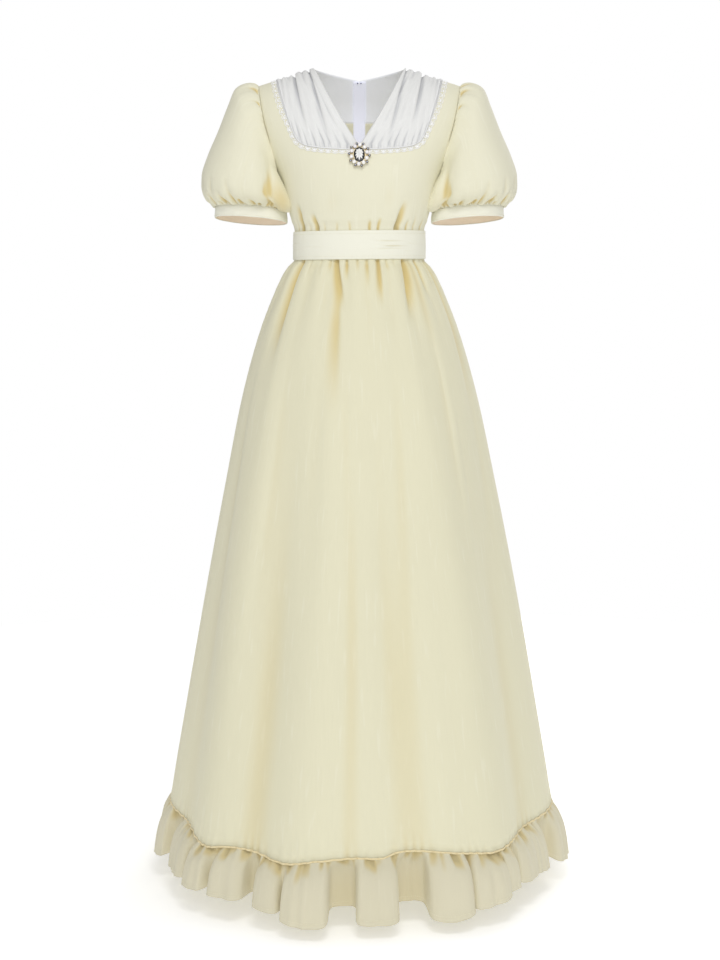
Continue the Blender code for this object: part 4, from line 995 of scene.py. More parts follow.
@dataclass
class Bodice:
    """The bodice, gathered into the high waist, with its back opening at the zip."""

    finishes: Finishes
    thickness: float = 0.0009
    side_edges: int = 26
    strip_edges: int = 14
    foot_edges: int = 62
    tail_edges: int = 12
    rows: int = 46
    crowding: float = 1.35
    side_radius: float = 0.13

    def seam(self, side: Side) -> Array:
        """The yoke seam's (angle, z) pairs, from the shoulder by its corner to the centre."""
        corner = Figure.CORNER
        down = np.linspace(0.0, 1.0, self.side_edges + 1) ** self.crowding * corner
        across = corner + (1 - corner) * np.linspace(0.0, 1.0, self.foot_edges + 1)
        return Figure.along(Figure.yoke_seam(side), np.concatenate([down, across[1:]]), side)

    def hole(self, side: Side) -> Array:
        """The armhole's (angle, z) pairs, from the shoulder to the armpit."""
        shares = np.linspace(0.0, 1.0, self.side_edges + self.tail_edges + 1) ** self.crowding
        return Figure.along(Figure.armhole(side), shares, side)

    def half(self, side: Side, sign: float = 1.0) -> Panel:
        """The left half of the front or back from the centre outward, or the right half's mirror image."""
        seam, hole, edges = self.seam(side), self.hole(side), self.side_edges
        shares = np.linspace(0.0, 1.0, self.strip_edges + 1)[:, None]
        strip = np.array([inner + (outer - inner) * shares for inner, outer in zip(seam[: edges + 1], hole)])
        top = np.concatenate([seam[edges:][::-1], strip[-1][1:], hole[edges + 1:]])
        even = np.linspace(0.0, 1.0, len(top))
        foot = Figure.along(Figure.level(side, TUCK_Z), even, side)
        waist = Figure.along(Figure.level(side, WAIST_Z), even, side)
        down = np.linspace(0.0, 1.0, self.rows + 1)[:, None]
        first, last = (top[k] + (foot[k] - top[k]) * down for k in (0, -1))
        lower = np.concatenate([coons(top, foot, first, last), waist[None]])
        blank = np.full((edges, self.foot_edges, 2), np.nan)
        spare = np.full((edges, self.tail_edges, 2), np.nan)
        places = np.concatenate([np.concatenate([blank, strip[:-1], spare], axis=1), lower])
        points = Figure.point(places[..., 0], places[..., 1], side)
        relief = self.relief(np.degrees(places[..., 0]), places[..., 1], side, sign)
        flip = slice(None, None, -side.value)
        panel = Panel.shaped(points[:, flip], relief[:, flip])
        edge = Figure.point(hole[:, 0], hole[:, 1], side)
        gaps = np.min(np.linalg.norm(np.nan_to_num(points)[..., None, :] - edge, axis=-1), axis=-1)
        # Painted shade: the fold colour near the armhole, where the sleeve shades the bodice, and in the
        # deeper creases.
        painted_shade_tint = 0.16 * np.exp(-gaps / 0.006) * smooth_step(-0.05, -0.12, np.nan_to_num(places[..., 1]))
        painted_shade_tint = np.clip(np.maximum(painted_shade_tint, (-relief - 0.0014) / 0.0050), 0.0, 0.8)
        return Panel(panel.points[:, flip], relief, False, painted_shade_tint)

    def relief(self, angle: Array, z: Array, side: Side, sign: float) -> Array:
        """How far the gathers and soft folds stand in, at angles in degrees and heights."""
        angle, z = np.nan_to_num(angle) * sign, np.nan_to_num(z)
        relief = crease_relief(BODICE_CREASES[side], angle, np.maximum(z - TUCK_Z, 0.0))
        relief *= smooth_step(WAIST_Z, TUCK_Z - 0.012, z)
        quiet = 1.0
        if side is Side.BACK:
            quiet = smooth_step(2.0, 12.0, 180.0 - np.abs(angle))
        gap = np.radians(90.0 - np.abs(angle_gap(angle, 0.0))) * self.side_radius
        relief = relief * quiet - 0.0007 * bell(gap, 0.0022)
        return relief + 0.0003 * np.sin(z / 0.0021 + 1.7 * np.sin(z / 0.009)) * bell(gap, 0.006)

    def front(self) -> Panel:
        """The whole front, from the right armhole across to the left one."""
        left, right = self.half(Side.FRONT), self.half(Side.FRONT, -1.0).mirrored()
        points, relief, painted_shade_tint = (
            np.concatenate([getattr(right, name)[:, :-1], getattr(left, name)], axis=1)
            for name in ("points", "relief", "painted_shade_tint"))
        return Panel(points, relief, False, painted_shade_tint)

    def back(self) -> Panel:
        """The left half of the back, from its side seam to the centre-back edge."""
        return self.half(Side.BACK).flipped().setback(1, (-1,))

    def make(self) -> Panel:
        """Makes the three pieces and returns the left back panel."""
        back = self.back()
        cloth = self.finishes.upper
        shade, reach = 0.0030, ((1, 3), (2, 8))
        Cloth("bodice_front", self.thickness, cloth, "cream_cotton", (0.52, 0.30),
              "gathered", ("yoke_front_left_cloth", "yoke_front_right_cloth"),
              0.088, shade, reach).make(self.front())
        for name, panel in (("left", back), ("right", back.mirrored())):
            Cloth(f"bodice_back_{name}", self.thickness, cloth, "cream_cotton",
                  (0.26, 0.30), "gathered", (f"yoke_back_{name}_cloth",), 0.050, shade, reach).make(panel)
        return back


PLEATS_LEFT = rows_of(
    Crease,
    (0.48, 0.14, 0.0, 1.0, 0.0066, 0.02, -0.7), (0.38, 0.13, 0.0, 1.0, -0.0026, 0.07),
    (0.56, 0.14, 0.0, 0.8, -0.0014, 0.035), (0.06, 0.4, 0.0, 1.25, 0.005, 0.018, -0.6),
    (0.17, 0.3, 0.0, 0.9, -0.0016, 0.045), (0.74, 0.1, 0.0, 0.55, 0.0018, 0.035, 0.4),
    (0.86, 0.05, 0.0, 0.9, 0.0022, 0.022, 0.6), (0.8, 0.05, 0.0, 0.8, -0.0018, 0.04),
    (0.27, 0.02, 0.0, 0.22, 0.0016, 0.03, -0.4), (0.66, 0.02, 0.0, 0.18, 0.0014, 0.022),
    (0.34, 0.06, 0.45, 0.6, 0.0018, 0.02, -0.4), (0.7, 0.03, 0.4, 0.7, 0.0012, 0.03),
)
PLEATS_RIGHT = rows_of(
    Crease,
    (0.52, 0.1, 0.0, 0.96, 0.0064, 0.02, -0.7), (0.41, 0.1, 0.0, 1.0, -0.0026, 0.07),
    (0.6, 0.1, 0.0, 0.8, -0.0014, 0.035), (0.14, 0.3, 0.0, 1.2, 0.0054, 0.018, -0.6),
    (0.24, 0.22, 0.0, 0.9, -0.0016, 0.045), (0.7, 0.06, 0.0, 0.4, 0.002, 0.03, 0.4),
    (0.88, 0.03, 0.0, 0.9, 0.002, 0.022, 0.6), (0.81, 0.04, 0.0, 0.7, -0.0018, 0.04),
    (0.33, 0.02, 0.0, 0.26, 0.0018, 0.028, -0.4), (0.77, 0.02, 0.0, 0.2, 0.0012, 0.02),
    (0.3, 0.1, 0.4, 0.6, 0.0016, 0.02, -0.4), (0.74, 0.03, 0.45, 0.6, 0.0012, 0.03),
)


@dataclass
class Yoke:
    """The chiffon yoke: pleated fronts folded at the V edge, and plain backs."""

    finishes: Finishes
    bodice: Bodice
    thickness: float = 0.0006
    neck_v: float = -0.1445
    neck_bow: float = 0.004
    back_drop: float = 0.0165
    small_gathers: int = 22
    fold_radius: float = 0.0011
    band: float = 0.0125
    stand: float = 0.0014

    def patch(self, edge: Array, top: Array, side: Side) -> Array:
        """A yoke half from its centre edge and top edge, with the seam as the other two."""
        seam = Figure.point(*self.bodice.seam(side).T, side)[:, [0, 2]]
        edges = self.bodice.side_edges
        flat = coons(top, seam[edges:][::-1], edge, seam[: edges + 1])
        return Figure.at(flat[..., 0], flat[..., 1], side)

    def gathers(self) -> list[Crease]:
        """The short gathers that rise from the yoke seam."""
        made = []
        for index in range(self.small_gathers):
            at = 0.07 + 0.86 * (index + uneven(index, -0.25, 0.25)) / self.small_gathers
            made.append(Crease(
                at, uneven(index, -0.03, 0.02, 0.37), 0.0, uneven(index, 0.12, 0.44),
                uneven(index, 0.0012, 0.0028, 0.29), uneven(index, 0.007, 0.013, 0.53)))
        return made

    def pleats(self, table: Sequence[Crease], shape: tuple[int, int]) -> Array:
        """The relief of the long pleats and the short gathers on a grid."""
        s = np.linspace(0.0, 1.0, shape[1])[None, :]
        t = np.linspace(0.0, 1.0, shape[0])[:, None]
        relief = crease_relief(table, s, t) * smooth_step(1.0, 0.93, t)
        relief = relief + crease_relief(self.gathers(), s, 1.0 - t) * smooth_step(1.0, 0.97, t)
        relief = relief + 0.0004 * np.sin(s * 61 + 3 * np.sin(t * 5)) * smooth_step(0.0, 0.1, t)
        band = self.band / Figure.NECK_HALF
        relief = relief + 0.0008 * smooth_step(band, band - 0.03, s) - 0.0008 * bell(s - band, 0.018)
        relief = relief - 0.0016 * bell(s - 0.955, 0.016) * smooth_step(1.0, 0.85, t)
        return (relief + self.stand) * smooth_step(1.0, 0.97, s) * smooth_step(0.0, 0.02, s)

    def front(self, table: Sequence[Crease]) -> Panel:
        """The left front yoke with a table of pleats."""
        run = np.linspace(0.0, 1.0, 120)
        x = Figure.NECK_HALF * (1 - run) + self.neck_bow * np.sin(math.pi * run) + SEAM
        z = self.neck_v * run + float(Figure.ridge(Figure.NECK_HALF)) * (1 - run)
        slope = resampled(np.stack([x, z], axis=-1), self.bodice.side_edges - 3)
        foot = [[SEAM, self.neck_v + (Figure.YOKE_FOOT[Side.FRONT] - self.neck_v) * k / 3] for k in (1, 2, 3)]
        edge = np.concatenate([slope, foot])
        across = np.linspace(edge[0, 0], Figure.YOKE_HALF, self.bodice.foot_edges + 1)
        points = finer(self.patch(edge, np.stack([across, Figure.ridge(across)], axis=-1), Side.FRONT), 2)
        relief = self.pleats(table, points.shape[:2])
        panel = Panel.shaped(points, relief)
        # Painted shade: the fold colour in the troughs of the pleats.
        panel.painted_shade_tint = np.clip(0.55 * (0.0005 - relief) / 0.0040, 0.0, 0.85)
        return panel.setback(0, (-1,)).setback(1, (-1,)).turned(1, (0,), self.fold_radius)

    def back(self, table: Sequence[Crease]) -> Panel:
        """The left back yoke, whose pleats die away behind the shoulder."""
        neck_x = np.linspace(SEAM / 2, Figure.NECK_HALF + SEAM, 60)
        lift = (neck_x / neck_x[-1]) ** 1.05
        neck_z = -self.back_drop * (1 - lift) + float(Figure.ridge(Figure.NECK_HALF)) * lift
        ridge_x = np.linspace(Figure.NECK_HALF + SEAM, Figure.YOKE_HALF, 60)[1:]
        path = [np.concatenate([neck_x, ridge_x]), np.concatenate([neck_z, Figure.ridge(ridge_x)])]
        top = resampled(np.stack(path, axis=-1), self.bodice.foot_edges)
        edge_z = np.linspace(-self.back_drop, Figure.YOKE_FOOT[Side.BACK], self.bodice.side_edges + 1)
        points = self.patch(np.stack([np.full_like(edge_z, SEAM / 2), edge_z], axis=-1), top, Side.BACK)
        down = np.linspace(0.0, 1.0, points.shape[0])[:, None]
        neck, shoulder = Figure.NECK_HALF, Figure.YOKE_HALF
        share = np.clip((points[:1, :, 0] - neck) / (shoulder - neck), 0.0, 1.0)
        ridge = crease_relief(table, share, np.zeros_like(share)) + self.stand
        relief = ridge * smooth_step(0.0, 0.02, share) * smooth_step(1.0, 0.95, share)
        relief = relief * smooth_step(0.6, 0.0, down)
        return Panel.shaped(points[:, ::-1], relief[:, ::-1]).setback(0, (-1,)).setback(1, (0,))

    def make(self) -> Panel:
        """Makes the four pieces and returns the left back panel."""
        chiffon, backs = self.finishes.chiffon, []
        for name, table in (("left", PLEATS_LEFT), ("right", PLEATS_RIGHT)):
            front, back = self.front(table), self.back(table)
            backs.append(back)
            if name == "right":
                front, back = front.mirrored(), back.mirrored()
            Cloth(f"yoke_front_{name}", self.thickness, chiffon, "white_chiffon", (0.24, 0.17), "gathered",
                  (f"yoke_back_{name}_cloth",), 0.024, 0.0042, ((2, 3), (3, 8))).make(front)
            Cloth(f"yoke_back_{name}", self.thickness, chiffon, "white_chiffon", (0.16, 0.11), "hung",
                  (f"yoke_front_{name}_cloth",), 0.0165, 0.004,
                  inner_face_painted_light=self.finishes.chiffon_inside_painted_light).make(back)
        return backs[0]


def finer(points: Array, times: int) -> Array:
    """A grid of points with more columns."""
    place = np.linspace(0.0, points.shape[1] - 1.0, (points.shape[1] - 1) * times + 1)
    cell = np.minimum(place.astype(int), points.shape[1] - 2)
    share = (place - cell)[None, :, None]
    return points[:, cell] * (1 - share) + points[:, cell + 1] * share


def resampled(path: Array, edges: int) -> Array:
    """Cuts a path into equal lengths, keeping its ends."""
    lengths = lengths_along(path)
    return read_along(path, lengths, np.linspace(0.0, lengths[-1], edges + 1))


SLEEVE_FOLDS = rows_of(
    Crease,
    (29.0, 0.0, 1.4, 12.0, -0.0095, 13.0), (18.0, 0.0, 5.0, 9.0, -0.0095, 12.0),
    (46.0, -2.0, 3.4, 8.0, 0.0066, 5.5, -0.3), (57.0, -2.0, 5.2, 5.0, 0.0034, 3.6),
    (72.0, -6.0, 4.4, 5.6, -0.0034, 9.0), (97.0, 8.0, 1.2, 3.2, 0.0016, 6.0, 0.3),
    (122.0, -4.0, 0.3, 2.0, 0.0026, 3.0), (137.0, 5.0, 0.2, 2.6, 0.0032, 2.8, -0.3),
    (151.0, -4.0, 0.1, 2.2, 0.004, 2.6, 0.3), (162.0, 4.0, 0.1, 3.0, 0.0044, 2.6, -0.3),
    (172.0, -3.0, 0.1, 2.2, 0.004, 2.4), (182.0, 4.0, 0.1, 2.8, 0.004, 2.6, 0.3),
    (196.0, -4.0, 0.1, 2.2, 0.0036, 2.6), (214.0, 4.0, 0.2, 2.8, 0.003, 2.8, -0.3),
    (236.0, -4.0, 0.3, 2.4, 0.0026, 3.0), (264.0, 6.0, 1.2, 3.0, 0.003, 6.0),
    (297.0, 4.0, 3.0, 6.0, 0.0046, 9.0, 0.4), (322.0, 0.0, 2.6, 7.0, -0.004, 14.0),
    (106.0, -4.0, 6.0, 3.4, 0.0024, 4.5, 0.3), (133.0, 4.0, 6.2, 3.2, 0.0026, 4.0),
    (158.0, -4.0, 5.8, 3.4, 0.003, 4.5, -0.3), (188.0, 3.0, 6.2, 3.2, 0.0026, 4.0),
    (214.0, -4.0, 5.8, 3.6, 0.003, 4.5, 0.3), (243.0, 4.0, 6.2, 3.2, 0.0026, 4.0),
    (270.0, -3.0, 6.0, 3.4, 0.0026, 4.5),
)


# Painted warm shade on the sleeve's folds, on the side that faces the body
SLEEVE_PAINTED_SHADE = rows_of(
    Crease,
    (43.0, -3.0, 4.2, 9.0, 0.46, 12.0), (318.0, 0.0, 4.2, 9.0, 0.34, 12.0),
)


@dataclass
class Sleeves:
    """The puff sleeves, gathered at the head and into narrow bands."""

    finishes: Finishes
    bodice: Bodice
    thickness: float = 0.0009
    rows: int = 70
    columns: int = 228
    head_gathers: int = 38
    cuff_gathers: int = 38
    cuff_gap: float = 0.0008
    cuff_height: float = 0.0190
    cuff_flare: float = 0.0015
    cuff_tilt: float = 0.12
    lean: float = 0.0072
    band: float = 0.0010

    def hole(self) -> Array:
        """The armhole from the armpit up the front, over the shoulder and down the back."""
        front, back = (Figure.point(*self.bodice.hole(side).T, side) for side in Side)
        front = front[::-1]
        crest, foot = (front[-1] + back[0]) / 2, (front[0] + back[-1]) / 2
        joined = np.concatenate([front[:-1], [crest], back[1:-1], [foot]])
        return resampled(joined, self.columns)[:-1] + SEAM * ACROSS

    def ring(self, row: float, turn: Array) -> Array:
        """An oval ring of the sleeve; turn 0 is the underarm and pi the crest."""
        values = [float(hermite(range(len(SLEEVE)), [s[k] for s in SLEEVE], row)) for k in range(5)]
        crest, under = np.array([values[0], 0.0, values[1]]), np.array([values[2], 0.0, values[3]])
        ring = (crest + under) / 2 - (crest - under)[None] / 2 * np.cos(turn)[:, None]
        ring[:, 1] = -values[4] * np.sin(turn)
        ring[:, 2] -= ring[:, 1] * self.cuff_tilt * (row / SLEEVE_END) ** 2
        return ring

    def gathers(self, number: int, length: Span, depth: Span, width: float) -> list[Crease]:
        """Short gathers all round, from one edge, uneven in place, length and depth."""
        made = []
        for index in range(number):
            at = 360.0 * (index + uneven(index, -0.28, 0.28)) / number
            made.append(Crease(
                at, uneven(index, -4.0, 4.0, 0.29), 0.0, uneven(index, *length, 0.41),
                uneven(index, *depth), width * uneven(index, 0.7, 1.2, 0.53)))
        return made

    def relief(self, turn: Array, row: Array, sign: float) -> Array:
        """How far the sleeve's gathers and folds stand out."""
        degrees = np.degrees(turn)
        if sign < 0:
            degrees = degrees - 6.0
        upper = np.clip(-np.cos(turn), 0.0, 1.0) ** 0.4
        away = smooth_step(0.05, 0.45, 1 - np.cos(turn))
        last = SLEEVE_END
        heads = self.gathers(self.head_gathers, (0.9, 2.2), (0.0024, 0.0056), 2.2)
        feet = self.gathers(self.cuff_gathers, (1.0, 3.0), (0.0060, 0.0120), 2.6)
        head = crease_relief(heads, degrees, row, True)
        foot = crease_relief(feet, degrees, last - row, True)
        folds = crease_relief(SLEEVE_FOLDS, degrees, row, True)
        relief = (head + 0.0018) * upper * smooth_step(0.0, 0.5, row)
        low = smooth_step(last, last - 0.16, row)
        relief = relief + (foot + 0.0022) * away * low * smooth_step(5.8, 7.4, row)
        return relief + folds * smooth_step(0.01, 0.12, 1 - np.cos(turn)) * smooth_step(last, last - 0.8, row)

    def panel(self, sign: float) -> Panel:
        """The left sleeve, its folds mirrored in advance where sign is negative."""
        hole = self.hole()
        steps = np.linalg.norm(np.roll(hole, -1, axis=0) - hole, axis=1)
        turn = np.concatenate([[0.0], np.cumsum(steps)])[:-1] / steps.sum() * 2 * math.pi
        last = SLEEVE_END
        levels = last * np.linspace(0.0, 1.0, self.rows + 1) ** 0.92
        rows = []
        for row in levels:
            shaped = float(smooth_step(0.0, 2.2, row))
            rows.append(hole * (1 - shaped) + self.ring(row, turn) * shaped)
        relief = self.relief(turn[None, :], levels[:, None], sign)
        made = Panel.shaped(np.array(rows), relief, True)
        near = smooth_step(0.95, 0.45, 1 - np.cos(turn))[None, :] * smooth_step(1.8, 5.5, levels)[:, None]
        made.points[..., 0] -= self.lean * near * smooth_step(last, last - 1.2, levels)[:, None]
        # Painted shade: the fold colour near the armhole seam at the front and back, on the side that faces
        # the body, and in the deeper folds.
        painted_shade_tint = 0.18 * np.exp(-levels / 0.30)[:, None] * np.abs(np.sin(turn))[None, :]
        painted_warm_shade = crease_relief(SLEEVE_PAINTED_SHADE, np.degrees(turn)[None, :], levels[:, None], True)
        painted_shade_tint = painted_shade_tint - painted_warm_shade * (1.0 if sign < 0 else 0.4)
        made.painted_shade_tint = np.clip(np.maximum(painted_shade_tint, (-relief - 0.0004) / 0.0046), 0.0, 0.75)
        return self.set_in(made, hole, turn)

    def set_in(self, panel: Panel, hole: Array, turn: Array) -> Panel:
        """Adds the edge that runs in under the bodice at the armhole."""
        over = smooth_step(0.15, 1.0, 1 - np.cos(turn))[:, None]
        centre = hole.mean(axis=0)
        below = unit((centre - hole) * np.array([0.0, 1.0, 1.0])) * over - ACROSS * (1 - over)
        along = -ACROSS * over + np.array([0.0, 0.0, -1.0]) * (1 - over)
        edges = np.array([hole + along * 0.0016 + below * 0.0015, hole - along * 0.0002 + below * 0.0012])
        relief, painted_shade_tint = (np.concatenate([np.repeat(v[:1], 2, axis=0), v]) for v in (panel.relief, panel.painted_shade_tint))
        return Panel(np.concatenate([edges, panel.points]), relief, True, painted_shade_tint)

    def cuff(self) -> Panel:
        """The left sleeve band, with its edges turned in."""
        turn = full_turn(self.columns)
        top = self.ring(SLEEVE_END, turn)
        top[:, 2] -= self.cuff_gap
        outward = top - top.mean(axis=0)
        outward[:, 2] = 0.0
        outward = unit(outward)
        shares = np.linspace(0.0, 1.0, 9)[:, None, None]
        rows = top[None] + outward[None] * self.cuff_flare * shares
        rows = rows - np.array([0, 0, self.cuff_height]) * shares
        wrinkle = 0.0004 * np.sin(turn * 9 + 4 * shares[..., 0]) * np.sin(math.pi * shares[..., 0])
        puff = 0.0005 * np.sin(math.pi * shares[..., 0]) + wrinkle
        rows = rows - outward[None] * 0.0008
        return Panel.shaped(rows, puff, True).turned(0, (0, -1), 0.0010, 3)

    def make(self) -> list[Panel]:
        """Makes both sleeves and bands and returns the bands' panels."""
        bands = []
        for name, sign in (("left", 1.0), ("right", -1.0)):
            sleeve, cuff = self.panel(sign), self.cuff()
            if name == "right":
                sleeve, cuff = sleeve.mirrored(), cuff.mirrored()
            Cloth(f"sleeve_{name}", self.thickness, self.finishes.upper, "cream_cotton", (0.56, 0.26),
                  "gathered", ("bodice_front_cloth",), 0.105, 0.0060, ((2, 2), (4, 4))).make(sleeve)
            Cloth(f"cuff_{name}", self.band, self.finishes.pale, "pale_cotton", (0.37, 0.026), "stretched",
                  (f"sleeve_{name}_cloth",), inner_face_painted_light=self.finishes.inside).make(cuff)
            bands.append(cuff)
        return bands


SASH_WRINKLES = rows_of(
    Crease,
    (0.34, 0.04, 10.0, 42.0, 0.0014, 0.022), (0.52, 0.07, 14.0, 48.0, 0.0017, 0.022),
    (0.66, -0.02, 8.0, 52.0, 0.0016, 0.02), (0.44, 0.08, 40.0, 34.0, 0.0006, 0.03),
    (0.74, -0.05, 36.0, 30.0, 0.0006, 0.028), (0.4, 0.05, -80.0, 30.0, 0.0007, 0.03),
    (0.66, -0.05, -76.0, 34.0, 0.0006, 0.03), (0.55, 0.03, -44.0, 30.0, 0.0004, 0.04),
    (0.42, -0.04, 92.0, 44.0, 0.0008, 0.034), (0.66, 0.05, 104.0, 40.0, 0.0007, 0.032),
    (0.36, 0.06, -172.0, 46.0, 0.0008, 0.034), (0.6, -0.04, -156.0, 40.0, 0.0007, 0.032),
)


@dataclass
class Sash:
    """The plain sash round the high waist, whose left end laps over the right at the back."""

    finishes: Finishes
    thickness: float = 0.0010
    band: float = 0.0022
    ease: float = 0.0009
    lap: float = 12.0
    top: float = -0.2938
    foot: float = -0.3428
    tilt: float = 0.0100
    columns: int = 360
    rows: int = 22

    def panel(self) -> Panel:
        """The sash as an open band, a little slack at its edges."""
        end = 180.0 + self.lap / 3
        degrees = np.linspace(-180.0 - self.lap, end, self.columns + 1)
        lift = smooth_step(end - 5 * self.lap, end - 1.6 * self.lap, degrees) * (self.band + 0.0004)
        share = np.linspace(0.0, 1.0, self.rows + 1)[:, None]
        turn = np.radians(degrees)[None] + 0.0 * share
        z = self.top + (self.foot - self.top) * share + self.tilt * 0.12 * np.sin(turn)
        ring = np.where((np.cos(turn) < 0)[..., None], ring_point(TORSO, turn, z, Side.BACK),
                        ring_point(TORSO, turn, z, Side.FRONT))
        outward = np.stack([np.sin(turn), -np.cos(turn), 0.0 * turn], axis=-1)
        ring = ring + outward * (self.band + self.ease + lift[None] - 0.0003)[..., None]
        relief = crease_relief(SASH_WRINKLES, share, degrees[None]) + 0.0004 * np.sin(math.pi * share)
        return Panel.shaped(ring, relief).turned(0, (0, -1), 0.0011)

    def make(self) -> Panel:
        """Makes the sash and returns its panel."""
        panel = self.panel()
        Cloth("sash", self.thickness, self.finishes.pale, "pale_cotton", (0.77, 0.060), "stretched",
              ("bodice_front_cloth", "bodice_back_left_cloth"), None, 0.0022, ((2, 3), (4, 8))).make(panel)
        return panel


# The angle and the depth of each gather under the sash, and the width of all in degrees
GATHER_WIDTH = 5.0
SKIRT_GATHERS = (
    (-76.0, 0.005), (-56.0, 0.007), (-38.0, 0.004), (-22.0, 0.006), (-9.0, 0.0055), (5.5, 0.005),
    (20.0, 0.005), (36.0, 0.007), (55.0, 0.0045), (74.0, 0.006), (104.0, 0.0055), (120.0, 0.006),
    (134.0, 0.005), (148.0, 0.006), (162.0, 0.005), (198.0, 0.005), (212.0, 0.006), (226.0, 0.005),
    (240.0, 0.006), (256.0, 0.0055),
)

SKIRT_FOLDS = rows_of(
    Fold,
    (-76.0, -64.0, 11.0, -0.012), (-52.0, -45.0, 11.0, 0.012), (-30.0, -31.0, 8.0, -0.014),
    (-12.0, -14.0, 10.0, 0.014), (-2.0, -2.0, 4.0, -0.005), (9.0, 13.0, 9.0, -0.015),
    (20.0, 24.0, 4.5, 0.005), (36.0, 38.0, 11.0, 0.014), (66.0, 58.0, 9.0, -0.014),
    (84.0, 80.0, 9.0, 0.006), (104.0, 106.0, 10.0, -0.012), (122.0, 126.0, 11.0, 0.013),
    (146.0, 148.0, 10.0, -0.013), (194.0, 190.0, 11.0, 0.01), (214.0, 212.0, 10.0, -0.012),
    (236.0, 234.0, 11.0, 0.013), (258.0, 256.0, 10.0, -0.011),
)

WAIST_CREASES = rows_of(
    Crease,
    (-71.0, 6.0, 0.0, 0.11, 0.003, 1.6), (-56.5, 6.0, 0.0, 0.22, 0.0086, 2.4, 0.4),
    (-44.0, 4.0, 0.0, 0.05, 0.002, 1.3), (-33.0, 3.0, 0.0, 0.04, 0.0018, 1.2),
    (-24.0, 1.0, 0.0, 0.032, 0.0036, 1.2, 0.3), (-18.0, 9.0, 0.0, 0.1, 0.01, 1.8, 0.45),
    (-14.0, 3.0, 0.06, 0.26, 0.0052, 2.6, 0.3), (-9.6, 0.5, 0.0, 0.05, 0.0056, 1.0),
    (-1.4, 0.5, 0.0, 0.03, 0.004, 1.0), (5.6, 1.0, 0.0, 0.06, 0.0044, 1.1, 0.3),
    (15.3, -1.0, 0.0, 0.1, 0.0088, 1.4, 0.4), (22.0, 0.5, 0.0, 0.026, 0.003, 1.0),
    (29.0, -1.0, 0.0, 0.022, 0.002, 1.1), (39.5, -9.0, 0.0, 0.13, 0.01, 1.8, -0.45),
    (46.0, -3.0, 0.0, 0.22, 0.0034, 2.6), (56.0, -3.0, 0.0, 0.08, 0.006, 1.4, 0.4),
    (65.0, -4.0, 0.0, 0.08, 0.0026, 1.6), (76.0, -10.0, 0.0, 0.34, 0.0052, 2.6, -0.4),
    (84.0, -2.0, 0.0, 0.06, 0.0034, 1.8), (98.0, 3.0, 0.0, 0.12, 0.0046, 2.2),
    (108.0, 2.0, 0.0, 0.05, 0.0028, 1.4), (117.0, 4.0, 0.0, 0.24, 0.0074, 2.0, 0.45),
    (126.0, 1.0, 0.0, 0.036, 0.003, 1.3), (133.0, 2.0, 0.0, 0.16, 0.0062, 1.7, -0.4),
    (141.0, 1.0, 0.0, 0.046, 0.0034, 1.3), (149.0, -1.0, 0.0, 0.22, 0.0072, 1.9, 0.45),
    (157.0, 0.0, 0.0, 0.034, 0.003, 1.2), (165.0, -1.0, 0.0, 0.11, 0.0054, 1.8),
    (193.0, 1.0, 0.0, 0.09, 0.0048, 1.8), (201.0, 0.0, 0.0, 0.036, 0.003, 1.2),
    (208.0, 1.0, 0.0, 0.24, 0.0074, 2.0, -0.45), (217.0, -1.0, 0.0, 0.046, 0.0034, 1.3),
    (225.0, -2.0, 0.0, 0.15, 0.0062, 1.7, 0.4), (234.0, -1.0, 0.0, 0.04, 0.0034, 1.3),
    (243.0, -3.0, 0.0, 0.23, 0.0074, 2.0, -0.45), (253.0, -2.0, 0.0, 0.054, 0.003, 1.4),
    (263.0, -3.0, 0.0, 0.11, 0.0046, 2.0),
)

SKIRT_SOFT = rows_of(
    Crease,
    (-68.0, 5.0, 0.24, 0.7, 0.004, 4.0, 0.3), (-47.0, 4.0, 0.15, 0.56, -0.0036, 4.5),
    (-38.0, -2.0, 0.3, 0.9, 0.0044, 3.6, -0.3), (-19.0, 1.0, 0.22, 0.8, 0.004, 4.0),
    (-7.0, 2.0, 0.18, 0.62, 0.004, 3.4, 0.3), (3.0, 1.0, 0.45, 0.8, -0.0034, 3.6),
    (18.0, 2.0, 0.26, 0.76, 0.0044, 3.6), (29.0, 1.0, 0.12, 0.5, -0.004, 4.2),
    (44.0, 4.0, 0.1, 0.9, 0.005, 3.6, 0.4), (52.0, 2.0, 0.3, 0.7, 0.004, 3.6, -0.3),
    (71.0, -2.0, 0.25, 0.6, 0.0036, 4.0), (94.0, 1.0, 0.3, 0.7, 0.0036, 4.0),
    (114.0, 3.0, 0.2, 0.8, -0.004, 4.0), (132.0, 2.0, 0.18, 0.7, 0.0044, 3.6, 0.3),
    (141.0, -2.0, 0.35, 0.7, -0.0038, 4.0), (158.0, 1.0, 0.24, 0.64, 0.0042, 3.8),
    (172.0, 0.0, 0.4, 0.7, 0.0036, 3.4), (186.0, -2.0, 0.42, 0.64, 0.0036, 3.6),
    (203.0, -1.0, 0.2, 0.8, 0.0044, 3.8, -0.3), (222.0, 2.0, 0.26, 0.7, -0.004, 4.0),
    (229.0, -3.0, 0.16, 0.76, 0.0042, 3.6), (246.0, 1.0, 0.3, 0.7, 0.0038, 4.0),
    (266.0, 2.0, 0.24, 0.6, 0.0034, 4.0),
)


# The angle and the drop of the flounce seam, read as a smooth curve
SEAM_WANDER = (
    (-90.0, 0.0), (-62.0, 0.004), (-46.0, 0.015), (-38.0, 0.007), (-32.0, 0.008), (-20.0, 0.014),
    (-10.0, 0.004), (0.0, 0.001), (5.0, 0.003), (11.0, -0.005), (22.0, -0.001), (31.0, 0.007),
    (39.0, 0.013), (47.0, 0.009), (62.0, 0.004), (90.0, 0.0), (108.0, 0.005), (124.0, -0.003),
    (142.0, 0.006), (160.0, -0.002), (181.0, 0.004), (200.0, -0.003), (219.0, 0.006), (238.0, -0.002),
    (254.0, 0.005), (270.0, 0.0),
)


